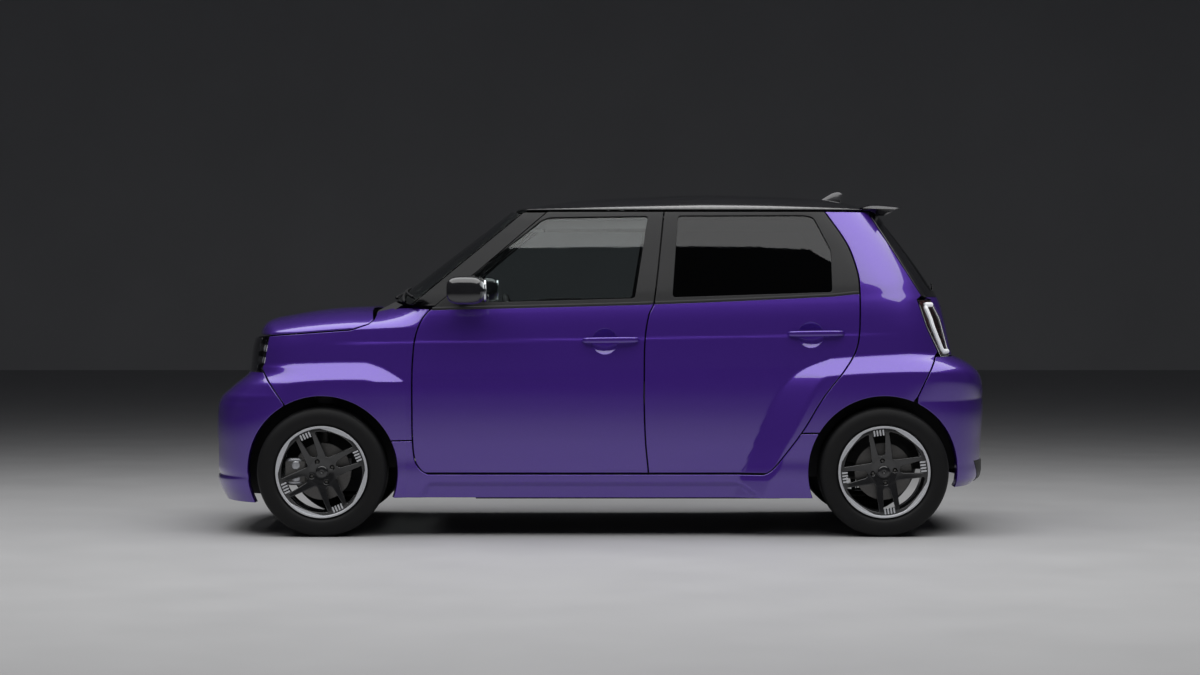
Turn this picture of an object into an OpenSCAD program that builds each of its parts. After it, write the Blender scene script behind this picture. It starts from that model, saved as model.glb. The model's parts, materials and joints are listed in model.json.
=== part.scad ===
// Small electric five-door hatchback with flared arches.
// Front is -X, left is -Y, up is +Z. The origin lies on the ground below the middle of the car.

/* [Overall] */
// Width over the wheel flares
car_width = 1572; // [1532:4:1612]
// Ground to the crown of the roof
roof_height = 1550; // [1500:5:1600]
// Distance between the axles
wheelbase = 2520; // [2480:10:2560]
// Front of the bumper to the front axle
front_overhang = 533; // [513:1:553]
// Rear axle to the end of the rear bumper
rear_overhang = 507; // [487:1:527]

/* [Body shell] */
// How far the flares stand out from the doors
flare_depth = 48; // [30:1:54]
// Height of the sloped ledge on top of a flare
flare_ledge = 80; // [60:1:100]
// Length over which the rear flare grows out of the door
rear_flare_run = 150; // [120:1:180]
// How far the body narrows towards both ends
plan_taper = 30; // [20:1:40]
// Length of the rounded corners in plan
corner_reach = 490; // [440:5:520]
// Gap at every shut line
shut_gap = 6; // [5:0.5:8]
// Thickness of a door below its window
door_depth = 72; // [60:1:80]
// Thickness of a window frame
frame_depth = 34; // [28:1:40]
// Thickness of bumpers, wings and lids
skin_depth = 24; // [18:1:30]
// Setback of the inner edge of a door from its outer edge
door_inset = 22; // [18:1:30]
// How far the side windows lie below the frame's face
glass_drop = 9; // [6:1:12]
// Thickness of the panes
glass_depth = 5; // [4:0.5:7]
// Ground to the bottom edge of the skirts
skirt_clearance = 174; // [164:1:190]
// Ground to the lip of the front bumper
lip_clearance = 148; // [140:1:165]
// Ground to the bottom of the rear bumper
tail_clearance = 214; // [200:1:230]
// Radius of the wheel arches
arch_radius = 341; // [334:1:350]
// Length of the roof fin
fin_length = 115; // [90:1:130]
// Height of the roof fin
fin_height = 42; // [30:1:50]

/* [Wheels] */
// Outside radius of the tyres
tyre_radius = 292; // [284:1:300]
// Width of the tyres
tyre_width = 184; // [170:1:190]
// Radius of the rim's flange
rim_radius = 206; // [200:1:212]
// Radius of the circle through the wheel nuts
nut_circle = 50; // [46:1:56]
// Radius of a wheel nut's hole
nut_radius = 9; // [7:0.5:11]
// Radius of the brake discs
disc_radius = 128; // [115:1:135]

/* [Cabin] */
// Radius of the steering wheel's rim
steer_radius = 178; // [165:1:185]

/* [Shown part] */
// The node to draw

/* [Hidden] */

car_length = front_overhang + wheelbase + rear_overhang;
half_length = car_length / 2;
half_width = car_width / 2;
front_axle_x = front_overhang - half_length;
rear_axle_x = front_axle_x + wheelbase;
half_track = half_width * 0.855;
seat_offset = half_width * 0.407;
seat_width = half_width * 0.61;
half_gap = shut_gap / 2;
// Overrun of every cut past the piece that it cuts
cut_over = skin_depth;
// Play between pieces that seat on each other
seat_play = shut_gap / 200;
// Play at hinge pins, brackets and seats
hinge_play = shut_gap / 20;
$fn = 48;

paint = [0.30, 0.20, 0.52];
gloss_black = [0.05, 0.05, 0.06];
trim_black = [0.10, 0.10, 0.11];
rubber_black = [0.07, 0.07, 0.07];
steel_grey = [0.45, 0.46, 0.48];
alloy_grey = [0.62, 0.63, 0.66];
glass_tint = [0.35, 0.42, 0.46, 0.5];
lamp_clear = [0.80, 0.82, 0.85];
fabric_grey = [0.25, 0.25, 0.28];

// Tables of the body. Heights are shares of the roof height and half widths shares of half the car's
// width. Places along the car are shares of the wheelbase behind the front axle; ahead of the front
// axle and behind the rear one they go with the overhangs, whose ends lie at these shares.
front_end_share = 0.2115;
rear_end_share = 0.2012;
// Columns: height, half width
section_shares = [
    [0.097, 0.891], [0.155, 0.905], [0.219, 0.920], [0.290, 0.933], [0.400, 0.939],
    [0.497, 0.939], [0.568, 0.935], [0.613, 0.926], [0.652, 0.912], [0.679, 0.898],
    [0.710, 0.882], [0.806, 0.824], [0.903, 0.765], [0.944, 0.737], [0.981, 0.702]
];
// Columns: height, setback of the nose as a share of the front overhang
nose_setback_shares = [
    [0.095, 0.080], [0.145, 0.010], [0.260, 0.000], [0.370, 0.010], [0.400, 0.050],
    [0.417, 0.110], [0.440, 0.190], [0.462, 0.275], [0.478, 0.305], [0.541, 0.325],
    [0.568, 0.345], [0.582, 0.360]
];
// Columns: height, setback of the tail as a share of the rear overhang
tail_setback_shares = [
    [0.138, 0.110], [0.160, 0.035], [0.210, 0.022], [0.274, 0.015], [0.365, 0.000],
    [0.439, 0.022], [0.475, 0.075], [0.505, 0.190], [0.520, 0.290], [0.534, 0.312],
    [0.629, 0.375], [0.696, 0.440], [0.815, 0.676], [0.930, 0.950], [0.968, 1.065]
];
// Columns: place, height
front_flare_top_shares = [
    [-0.156, 0.494], [-0.108, 0.497], [0.073, 0.505], [0.103, 0.492], [0.122, 0.476], [0.146, 0.452]
];
rear_flare_top_shares = [
    [0.748, 0.190], [0.779, 0.302], [0.806, 0.394], [0.831, 0.455], [0.857, 0.485],
    [0.892, 0.512], [0.911, 0.517], [0.990, 0.525], [1.091, 0.530], [1.169, 0.533]
];
hood_crown_shares = [
    [-0.136, 0.584], [-0.117, 0.621], [-0.069, 0.641], [-0.013, 0.655], [0.041, 0.662],
    [0.078, 0.664], [0.117, 0.674]
];
hood_edge_shares = [[-0.108, 0.580], [0.052, 0.599], [0.200, 0.604]];
fender_top_shares = [
    [-0.108, 0.580], [0.052, 0.599], [0.082, 0.616], [0.102, 0.645], [0.118, 0.661],
    [0.156, 0.664], [0.194, 0.659]
];
roof_crown_shares = [
    [0.330, 0.950], [0.350, 0.955], [0.388, 0.967], [0.476, 0.985], [0.640, 0.998],
    [0.702, 1.000], [0.800, 0.996], [0.898, 0.986], [0.947, 0.975], [0.987, 0.955]
];
belt_shares = [[0.194, 0.659], [0.591, 0.676], [0.904, 0.698], [0.948, 0.705]];
// Columns: height, place
rear_flare_edge_shares = [
    [0.116, 0.729], [0.190, 0.748], [0.302, 0.779], [0.394, 0.806], [0.455, 0.831],
    [0.485, 0.857], [0.516, 0.908]
];
door_front_shares = [
    [0.174, 0.195], [0.189, 0.178], [0.217, 0.166], [0.278, 0.161], [0.384, 0.160], [0.450, 0.160],
    [0.505, 0.161], [0.578, 0.166], [0.630, 0.178], [0.659, 0.194], [0.768, 0.275], [0.944, 0.401]
];
door_split_shares = [
    [0.174, 0.581], [0.187, 0.581], [0.275, 0.576], [0.384, 0.5735], [0.450, 0.5735], [0.570, 0.575],
    [0.642, 0.582], [0.676, 0.591], [0.944, 0.610]
];
door_rear_shares = [
    [0.174, 0.775], [0.183, 0.790], [0.194, 0.800], [0.217, 0.813], [0.305, 0.854],
    [0.405, 0.892], [0.482, 0.929], [0.529, 0.948], [0.576, 0.956], [0.629, 0.958],
    [0.725, 0.958], [0.772, 0.954], [0.849, 0.937], [0.944, 0.898]
];
fender_front_shares = [
    [0.278, 0.000], [0.385, -0.067], [0.486, -0.112], [0.497, -0.108], [0.578, -0.099], [0.665, -0.098]
];
quarter_rear_shares = [
    [0.301, 1.000], [0.405, 1.059], [0.523, 1.095], [0.534, 1.101], [0.608, 1.079],
    [0.687, 1.063], [0.697, 1.072], [0.945, 0.979]
];
lamp_front_shares = [[0.518, 1.106], [0.534, 1.102], [0.608, 1.079], [0.687, 1.063]];
lamp_rear_shares = [[0.518, 1.129], [0.534, 1.126], [0.629, 1.111], [0.681, 1.092], [0.687, 1.089]];
pillar_front_shares = [[0.620, 0.150], [0.668, 0.156], [0.940, 0.357]];
// Corner places of the side windows, columns: place, height
front_window_shares = [
    [0.271, 0.763], [0.390, 0.917], [0.405, 0.926], [0.581, 0.930], [0.557, 0.690], [0.266, 0.677]
];
rear_window_shares = [
    [0.635, 0.931], [0.862, 0.932], [0.878, 0.926], [0.908, 0.830], [0.909, 0.708], [0.624, 0.693]
];
// Heights of the rows of a side panel
door_row_shares = [
    0.183, 0.189, 0.205, 0.240, 0.290, 0.340, 0.384, 0.450, 0.470, 0.490, 0.515, 0.540, 0.568, 0.600,
    0.630, 0.650, 0.659
];
upper_row_shares = [0.725, 0.772, 0.849, 0.91, 0.944];
belt_step_share = 0.006;
pane_row_shares = [0.66, 0.74, 0.82, 0.90, 0.95];
front_mid_share = 0.39;
rear_mid_share = 0.77;
door_low_share = 0.183;
door_top_share = 0.944;
fender_low_share = 0.278;
quarter_low_share = 0.301;
lamp_low_share = 0.520;
lamp_high_share = 0.686;
tail_lamp_shares = [0.534, 0.57, 0.608, 0.65];
bumper_top_share = 0.474;
hood_low_share = 0.582;
low_corner_power = 3;
high_corner_power = 4;
hood_round_power = 2.6;
hood_rise_power = 1.8;
roof_round_power = 2.6;
roof_rise_power = 1.6;
belt_rise = 0.03;
rise_low_share = 0.4;
rise_run_share = 0.2;
corner_low_share = 0.39;
corner_run_share = 0.1;
curl_end_share = 0.19;
curl_run_share = 0.09;
curl_top_share = 0.68;
front_flare_end_share = 0.149;
front_flare_run_share = 0.074;

// Sizes of single pieces
skirt_out = skin_depth / 2;
skirt_lug_shares = [0.25, 0.50, 0.72];
skirt_lug_share = 0.02;
skirt_lug_high_shares = [0.140, 0.160];
hinge_share = 0.417;
hinge_length = skin_depth * 4;
hinge_web = skin_depth / 2;
jack_shares = [0.215, 0.790];
jack_radius = skin_depth * 1.25;
jack_height = skin_depth / 2;
jack_offset = half_width * 0.754;
hood_front_bow = corner_reach * 0.19;
hood_rear_share = 0.078;
hood_rear_bow = corner_reach * 0.06;
roof_front_share = 0.338;
roof_front_bow = corner_reach * 0.13;
roof_rear_share = 0.966;
// Columns: place from and to, top
roof_block_shares = [0.360, 0.375, 0.952];
roof_arm = half_width * 0.2;
tail_gap = shut_gap * 2;
tail_hinge_share = 0.9605;
fin_share = 0.923;
fin_width = fin_length * 0.4;
fin_tip = fin_width * 0.25;
screen_low_share = 0.672;
screen_high_share = 0.936;
screen_foot_share = 0.118;
screen_head_share = 0.329;
screen_foot_z_share = 0.684;
screen_head_z_share = 0.947;
screen_inset = door_depth / 6;
intake_shares = [[-0.52, 0.165], [-0.60, 0.205], [-0.56, 0.275], [0.56, 0.275], [0.60, 0.205], [0.52, 0.165]];
bumper_arm_y = [-half_width * 0.30, -half_width * 0.22];
front_arm_shares = [0.278, 0.288];
rear_arm_shares = [0.290, 0.310];
lamp_angle = 40;
lamp_seam = 1;
lamp_depth = skin_depth / 2;
tail_window_shares = [
    [-0.66, 0.712], [-0.64, 0.76], [-0.54, 0.90], [-0.50, 0.912], [0.50, 0.912], [0.54, 0.90], [0.64, 0.76],
    [0.66, 0.712]
];
spoiler_front_x = xs(roof_rear_share) + tail_gap;
spoiler_reach = wheelbase * 0.083;
// Columns: share of the spoiler's reach, height
spoiler_top_shares = [[0, 0.9635], [0.20, 0.972], [0.60, 0.970], [1, 0.963]];
spoiler_low_shares = [[0, 0.9490], [0.20, 0.9490], [0.34, 0.9363], [0.56, 0.9363], [0.97, 0.957]];
spoiler_half = half_width * 0.63;
spoiler_bow = corner_reach * 0.09;
post_gap = skin_depth * 0.6;
post_depth = skin_depth * 1.7;
pillar_depth = door_depth * 1.3;
cowl_width_share = 0.69;
cowl_low_share = 0.655;
cowl_drop = skin_depth * 1.2;
cowl_bow = hood_rear_bow;
cowl_tie_shares = [0.105, 0.1749, -0.45, 0.45, 0.622, 0.660];
hood_hinge_setback = skin_depth * 2.5;
hood_hinge_half = half_width * 0.56;
hood_hinge_high_share = 0.618;
hood_pin = skin_depth / 4;
hood_eye = skin_depth / 2;
hood_arm = skin_depth * 4;
hood_rise = skin_depth * 2.25;
dash_half = half_width * 0.68;
bench_half = half_width * 0.59;
column_radius = steer_radius * 0.1;
column_length = steer_radius;
steer_grip = steer_radius * 0.09;
steer_share = 0.310;
steer_high_share = 0.560;
steer_lean = 66;
liner_gap = skin_depth;
liner_depth = glass_depth;
liner_front_wall = half_width * 0.5225;
liner_rear_wall = half_width * 0.660;
liner_edge = half_width * 0.75;
liner_hole = disc_radius * 1.2;
mirror_round = skin_depth * 1.25;
mirror_shares = [
    [0.238, -1.10, 0.700], [0.280, -1.10, 0.700], [0.240, -1.10, 0.735], [0.282, -1.10, 0.735],
    [0.236, -0.99, 0.694], [0.276, -0.99, 0.694], [0.238, -0.99, 0.730], [0.278, -0.99, 0.730]
];
mirror_foot_shares = [[0.238, -0.99, 0.690], [0.257, -0.99, 0.690], [0.238, -0.88, 0.690], [0.257, -0.88, 0.690]];
barrel_radius = rim_radius * 0.87;
rim_lip = tyre_width * 0.03;
spoke_high = tyre_width * 0.41;
spoke_low = tyre_width * 0.31;
spoke_half = tyre_width * 0.06;
spoke_offset = tyre_width * 0.165;
hub_radius = nut_circle * 1.35;
disc_low = tyre_width * 0.06;
disc_high = tyre_width * 0.17;
spindle_radius = hub_radius * 0.24;
spindle_play = shut_gap / 20;
carrier_radius = hub_radius * 0.72;
caliper_reach = barrel_radius * 0.92;
caliper_inner = hub_radius * 1.15;
caliper_half = disc_radius * 0.36;
caliper_side = disc_radius * 0.18;
bracket_shares = [-0.008, 0.008, 0.175, 0.270];
bracket_outer = half_track - tyre_width * 0.385;
bracket_inner = half_track - tyre_width * 0.663;
strut_foot = half_track - tyre_width * 0.5337;
strut_low_share = 0.205;
strut_high_share = 0.4824;
strut_lean = 11;
strut_radius = hub_radius * 0.32;
strut_length = zs(strut_high_share - strut_low_share) / cos(strut_lean);
spring_low_share = 0.62;
spring_length_share = 0.36;
ball_radius = hub_radius * 0.18;
spring_radius = hub_radius * 0.75;
front_turn = 24;
rear_turn = 8;

function clamp(v) = max(0, min(1, v));
function mix(a, b, t) = a + (b - a) * t;
function xs(s) =
    s < 0 ? front_axle_x + s / front_end_share * front_overhang
    : s > 1 ? rear_axle_x + (s - 1) / rear_end_share * rear_overhang
    : front_axle_x + s * wheelbase;
function zs(h) = h * roof_height;
function share_x(x) =
    x < front_axle_x ? (x - front_axle_x) / front_overhang * front_end_share
    : x > rear_axle_x ? 1 + (x - rear_axle_x) / rear_overhang * rear_end_share
    : (x - front_axle_x) / wheelbase;
function share_z(z) = z / roof_height;

// Smooth curve through a table's rows
function slope(p, i) =
    let (a = p[max(i - 1, 0)], b = p[min(i + 1, len(p) - 1)]) (b[1] - a[1]) / (b[0] - a[0]);
function segment(t, p, i = 0) = i >= len(p) - 2 || t < p[i + 1][0] ? i : segment(t, p, i + 1);
function curve(t, p) =
    let (i = segment(t, p), a = p[i], b = p[i + 1], h = b[0] - a[0], u = clamp((t - a[0]) / h))
    a[1] * (1 + 2 * u) * (1 - u) * (1 - u) + b[1] * u * u * (3 - 2 * u)
    + h * (slope(p, i) * u * (1 - u) * (1 - u) - slope(p, i + 1) * u * u * (1 - u));

// Place along the car of a shut line at a height
function line_x(table, z) = xs(lookup(share_z(z), table));
function top_z(table, x) = zs(lookup(share_x(x), table));
function belt_z(x) = top_z(belt_shares, x);

// Outer skin of the body's left side
function front_flare(x, z) = let (s = share_x(x))
    min(sin(90 * clamp((front_flare_end_share - s) / front_flare_run_share)),
        clamp((top_z(front_flare_top_shares, x) - z) / flare_ledge));
function rear_flare(x, z) =
    min(clamp((x - line_x(rear_flare_edge_shares, z)) / rear_flare_run),
        clamp((top_z(rear_flare_top_shares, x) - z) / flare_ledge));
function plain_half(x, z) = let (up = clamp((share_z(z) - rise_low_share) / rise_run_share))
    half_width * curve(share_z(z - belt_rise * x * up), section_shares)
    - plan_taper * pow(x / half_length, 2)
    + flare_depth * (x < 0 ? front_flare(x, z) : rear_flare(x, z));
function nose_x(z) = front_overhang * curve(share_z(z), nose_setback_shares) - half_length;
function tail_x(z) = half_length - rear_overhang * curve(share_z(z), tail_setback_shares);
function corner_power(z) = mix(low_corner_power, high_corner_power, clamp((share_z(z) - corner_low_share) / corner_run_share));
function rounding(d, power) = pow(1 - pow(clamp(1 - d / corner_reach), power), 1 / power);
function side_half(x, z) = plain_half(x, z)
    * (x < 0 ? rounding(x - nose_x(z), corner_power(z)) : rounding(tail_x(z) - x, corner_power(z)));

// The wings curl over into the hood ahead of the windscreen
function hood_blend(x) = let (t = clamp((curl_end_share - share_x(x)) / curl_run_share)) t * t * (3 - 2 * t);
function body_half(x, z) = let (e = top_z(hood_edge_shares, x), k = hood_blend(x))
    z <= e || k <= 0 || share_z(z) > curl_top_share ? side_half(x, z)
    : mix(side_half(x, z),
          side_half(x, e)
          * pow(1 - pow(clamp((z - e) / (zs(curve(share_x(x), hood_crown_shares)) - e)), hood_rise_power),
                1 / hood_round_power),
          k);

// Closed shell between two grids of points. Rows run up and columns run to the viewer's right.
module grid_solid(outer, inner) {
    rows = len(outer);
    cols = len(outer[0]);
    size = rows * cols;
    rim = concat(
        [for (j = [0 : cols - 1]) j],
        [for (i = [1 : rows - 1]) i * cols + cols - 1],
        [for (j = [cols - 2 : -1 : 0]) (rows - 1) * cols + j],
        [for (i = [rows - 2 : -1 : 1]) i * cols]
    );
    skin = [for (i = [0 : rows - 2], j = [0 : cols - 2])
        [i * cols + j, (i + 1) * cols + j, (i + 1) * cols + j + 1, i * cols + j + 1]];
    polyhedron(
        points = concat([for (r = outer) for (p = r) p], [for (r = inner) for (p = r) p]),
        faces = concat(
            [for (q = skin) [q[0], q[1], q[2]]],
            [for (q = skin) [q[0], q[2], q[3]]],
            [for (q = skin) [size + q[2], size + q[1], size + q[0]]],
            [for (q = skin) [size + q[3], size + q[2], size + q[0]]],
            [for (k = [0 : len(rim) - 1]) let (a = rim[k], b = rim[(k + 1) % len(rim)]) [a, b, size + b]],
            [for (k = [0 : len(rim) - 1]) let (a = rim[k], b = rim[(k + 1) % len(rim)]) [a, size + b, size + a]]
        )
    );
}

// Grid on the left side between two shut lines, moved in by a depth and drawn in by an inset
function side_grid(front, rear, heights, cols, depth, inset = 0) =
    [for (i = [0 : len(heights) - 1]) let (
        z0 = zs(heights[i]),
        z = i == 0 ? z0 + inset : (i == len(heights) - 1 ? z0 - inset : z0))
        [for (j = [0 : cols]) let (
            x = mix(line_x(front, z0) + half_gap + inset, line_x(rear, z0) - half_gap - inset, j / cols))
            [x, -(body_half(x, z) - depth[i]), z]]];

// Prism across the left side from an outline in place and height
module side_prism(points) {
    rotate([90, 0, 0]) linear_extrude(car_width) polygon(points);
}
function window_points(table) = [for (p = table) [xs(p[0]), zs(p[1])]];
function arch_points(axle_x, radius) = concat(
    [for (a = [0 : 7.5 : 180]) [axle_x + radius * cos(a), tyre_radius + radius * sin(a)]],
    [[axle_x - radius, -tyre_radius], [axle_x + radius, -tyre_radius]]
);

module both() {
    children();
    mirror([0, 1, 0]) children();
}

// Rows of a door, with the step in depth at the belt
function door_heights(x) =
    concat(door_row_shares, [share_z(belt_z(x)) - belt_step_share, share_z(belt_z(x))], upper_row_shares);
door_rows = len(door_row_shares) + len(upper_row_shares) + 1;
door_depths = [for (i = [0 : door_rows]) i <= len(door_row_shares) ? door_depth : frame_depth];
door_zeros = [for (i = [0 : door_rows]) 0];

module door(front, rear, mid_share, window) {
    heights = door_heights(xs(mid_share));
    difference() {
        grid_solid(
            side_grid(front, rear, heights, 9, door_zeros),
            side_grid(front, rear, heights, 9, door_depths, door_inset)
        );
        side_prism(window_points(window));
    }
}

module pane(front, rear, window) {
    drop = [for (h = pane_row_shares) glass_drop];
    back = [for (h = pane_row_shares) glass_drop + glass_depth];
    intersection() {
        grid_solid(
            side_grid(front, rear, pane_row_shares, 7, drop),
            side_grid(front, rear, pane_row_shares, 7, back)
        );
        rotate([90, 0, 0]) linear_extrude(car_width) offset(delta = -seat_play)
            polygon(window_points(window));
    }
}

// Bar handle over a scooped bowl, columns: place from and to, height
front_handle_shares = [0.467, 0.561, 0.5697];
rear_handle_shares = [0.835, 0.925, 0.5884];
handle_round = skin_depth / 2;
bowl_radius = door_depth;
bowl_out = bowl_radius * 0.74;
module handle(shares) {
    z = zs(shares[2]);
    hull() for (s = [shares[0], shares[1]])
        translate([xs(s), -body_half(xs(s), z) - handle_round / 2, z]) sphere(r = handle_round, $fn = 16);
}
module bowl(shares) {
    x = xs((shares[0] + shares[1]) / 2) - handle_round;
    z = zs(shares[2]);
    translate([x, -body_half(x, z) - bowl_out, z]) sphere(r = bowl_radius, $fn = 32);
}
module door_front_left() {
    color(paint) union() {
        difference() {
            door(door_front_shares, door_split_shares, front_mid_share, front_window_shares);
            bowl(front_handle_shares);
        }
        handle(front_handle_shares);
    }
}
module door_front_right() {
    mirror([0, 1, 0]) door_front_left();
}
module door_rear_left() {
    color(paint) union() {
        difference() {
            door(door_split_shares, door_rear_shares, rear_mid_share, rear_window_shares);
            side_prism(arch_points(rear_axle_x, arch_radius + shut_gap));
            bowl(rear_handle_shares);
        }
        handle(rear_handle_shares);
    }
}
module door_rear_right() {
    mirror([0, 1, 0]) door_rear_left();
}
module glass_front_left() {
    color(glass_tint) pane(door_front_shares, door_split_shares, front_window_shares);
}
module glass_front_right() {
    mirror([0, 1, 0]) glass_front_left();
}
module glass_rear_left() {
    color(glass_tint) pane(door_split_shares, door_rear_shares, rear_window_shares);
}
module glass_rear_right() {
    mirror([0, 1, 0]) glass_rear_left();
}

// Grid whose top edge follows a table along the car
function swept_grid(front, rear, top, low, high, steps, cols, depth, inset = 0, sink = 0) =
    [for (v = steps) let (
        z_front = mix(low, top_z(top, line_x(front, high)) - half_gap - sink, v),
        z_rear = mix(low, top_z(top, line_x(rear, high)) - half_gap - sink, v),
        x_front = line_x(front, z_front) + half_gap + inset,
        x_rear = line_x(rear, z_rear) - half_gap - inset)
        [for (j = [0 : cols]) let (
            x = mix(x_front, x_rear, j / cols),
            z = mix(low + inset, top_z(top, x) - half_gap - inset - sink, v))
            [x, -(body_half(x, z) - depth), z]]];

fender_step_shares = [0, 0.14, 0.28, 0.40, 0.50, 0.58, 0.66, 0.74, 0.82, 0.88, 0.924, 0.96, 1];
fender_lug_shares = [-0.015, 0.015, 0.505, 0.513];
module fenders() {
    low = zs(fender_low_share) + half_gap;
    high = zs(hood_low_share);
    color(paint) both() difference() {
        grid_solid(
            swept_grid(fender_front_shares, door_front_shares, fender_top_shares, low, high, fender_step_shares,
                26, 0),
            swept_grid(fender_front_shares, door_front_shares, fender_top_shares, low, high, fender_step_shares,
                26, skin_depth, half_gap, skin_depth)
        );
        side_prism(arch_points(front_axle_x, arch_radius));
    }
    color(paint) both() {
        lug(fender_lug_shares, side_floor_shares[4]);
        door_pin(door_front_shares, -hinge_web);
    }
}
// Pin of a side door's hinge in the middle of its shut line, with a web to what carries it
module door_pin(line, web_x, web_y = 0) {
    z = zs(hinge_share);
    x = line_x(line, z);
    y = -(side_half(x, z) - half_gap);
    translate([x, y, z - hinge_length / 2]) {
        cylinder(r = half_gap - hinge_play, h = hinge_length);
        if (web_x != 0) translate([web_x, -half_gap / 2, 0]) cube([-web_x, half_gap, hinge_length]);
        if (web_y > 0) translate([-half_gap / 2, 0, 0]) cube([half_gap, web_y, hinge_length]);
    }
}
// Bracket from inside the left skin to the outer face of a floor block, columns: place from and to,
// height from and to
module lug(shares, seat) {
    x = [xs(shares[0]), xs(shares[1])];
    z = [zs(shares[2]), zs(shares[3])];
    out = min([for (a = x, b = z) body_half(a, b)]) - skin_depth / 2;
    block(x, [-out, seat[2] * half_width - hinge_play], z);
}

quarter_top_shares = [[0.8, 0.944], [1.2, 0.944]];
quarter_step_shares = [
    0, 0.08, 0.162, 0.24, 0.2815, 0.315, 0.345, 0.362, 0.4277, 0.477, 0.51, 0.60, 0.616, 0.659, 0.7325, 0.852, 0.93, 1
];
quarter_lug_shares = [0.965, 0.975, 0.70, 0.715];
module quarters() {
    low = zs(quarter_low_share) + half_gap;
    high = zs(door_top_share);
    color(paint) both() difference() {
        grid_solid(
            swept_grid(door_rear_shares, quarter_rear_shares, quarter_top_shares, low, high, quarter_step_shares,
                10, 0),
            swept_grid(door_rear_shares, quarter_rear_shares, quarter_top_shares, low, high, quarter_step_shares,
                10, frame_depth, half_gap, skin_depth)
        );
        side_prism(arch_points(rear_axle_x, arch_radius));
    }
    color(paint) both() lug(quarter_lug_shares, side_floor_shares[6]);
}

sill_front_shares = [0.37, 0.278, 0.217, 0.189];
sill_rear_shares = [0.194, 0.217, 0.305, 0.37];
// Outline of both doors of one side near the sill, widened by the shut gap
function sill_outline() = concat(
    [for (h = sill_front_shares) [line_x(door_front_shares, zs(h)) - half_gap, zs(h)]],
    [[line_x(door_front_shares, zs(door_low_share)) - half_gap, zs(door_low_share) - shut_gap]],
    [[line_x(door_rear_shares, zs(door_low_share)) + half_gap, zs(door_low_share) - shut_gap]],
    [for (h = sill_rear_shares) [line_x(door_rear_shares, zs(h)) + half_gap, zs(h)]]
);
skirt_front_shares = [[0, 0.100], [1, 0.100]];
skirt_rear_shares = [[0, 0.900], [1, 0.900]];
skirt_top_shares = [[0.100, 0.278], [0.900, 0.301]];
module side_skirts() {
    steps = [0, 0.1, 0.5, 0.65, 1];
    color(paint) both() difference() {
        grid_solid(
            swept_grid(skirt_front_shares, skirt_rear_shares, skirt_top_shares, skirt_clearance,
                skirt_clearance, steps, 18, -skirt_out),
            swept_grid(skirt_front_shares, skirt_rear_shares, skirt_top_shares, skirt_clearance,
                skirt_clearance, steps, 18, skin_depth)
        );
        side_prism(sill_outline());
        side_prism(arch_points(front_axle_x, arch_radius));
        side_prism(arch_points(rear_axle_x, arch_radius));
    }
    color(paint) both() for (s = skirt_lug_shares)
        lug(concat([s, s + skirt_lug_share], skirt_lug_high_shares), side_floor_shares[0]);
}

// Hood and roof: crowned grids across the car
function crown(s, round_power, rise_power) = pow(1 - pow(abs(s), round_power), 1 / rise_power);
function hood_reach(x) = let (e = top_z(hood_edge_shares, x), c = zs(curve(share_x(x), hood_crown_shares)))
    pow(1 - pow(clamp((top_z(fender_top_shares, x) - e) / (c - e)), hood_rise_power), 1 / hood_round_power);
function hood_front_x(s) = nose_x(zs(hood_low_share)) + half_gap + hood_front_bow * pow(abs(s), 4);
function hood_rear_x(s) = xs(hood_rear_share) + hood_rear_bow * s * s;
function hood_point(s, u, depth) = let (
    x = mix(hood_front_x(s) + depth / 2, hood_rear_x(s) - depth / 2, u),
    e = top_z(hood_edge_shares, x) + half_gap,
    c = max(e + half_gap, zs(curve(share_x(x), hood_crown_shares))),
    t = s * hood_reach(x))
    [x, t * (side_half(x, e) - depth), mix(e, c, crown(t, hood_round_power, hood_rise_power)) - depth];
module hood() {
    across = [-1, -0.985, -0.95, -0.88, -0.75, -0.55, -0.3, 0, 0.3, 0.55, 0.75, 0.88, 0.95, 0.985, 1];
    along = [0, 0.03, 0.08, 0.16, 0.28, 0.42, 0.56, 0.70, 0.84, 0.93, 1];
    color(paint) grid_solid(
        [for (s = across) [for (u = along) hood_point(s, u, 0)]],
        [for (s = across) [for (u = along) hood_point(s, u, skin_depth)]]
    );
    color(paint) both() hood_hinge() difference() {
        union() {
            rotate([90, 0, 0]) cylinder(r = hood_eye, h = hood_eye, center = true);
            translate([-hood_arm, -hood_eye / 2, -hood_eye]) cube([hood_arm, hood_eye, hood_eye]);
            translate([-hood_arm, -hood_eye / 2, -hood_eye]) cube([hood_eye, hood_eye, hood_rise]);
        }
        rotate([90, 0, 0]) cylinder(r = hood_pin + hinge_play, h = skin_depth * 2, center = true);
    }
}

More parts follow.
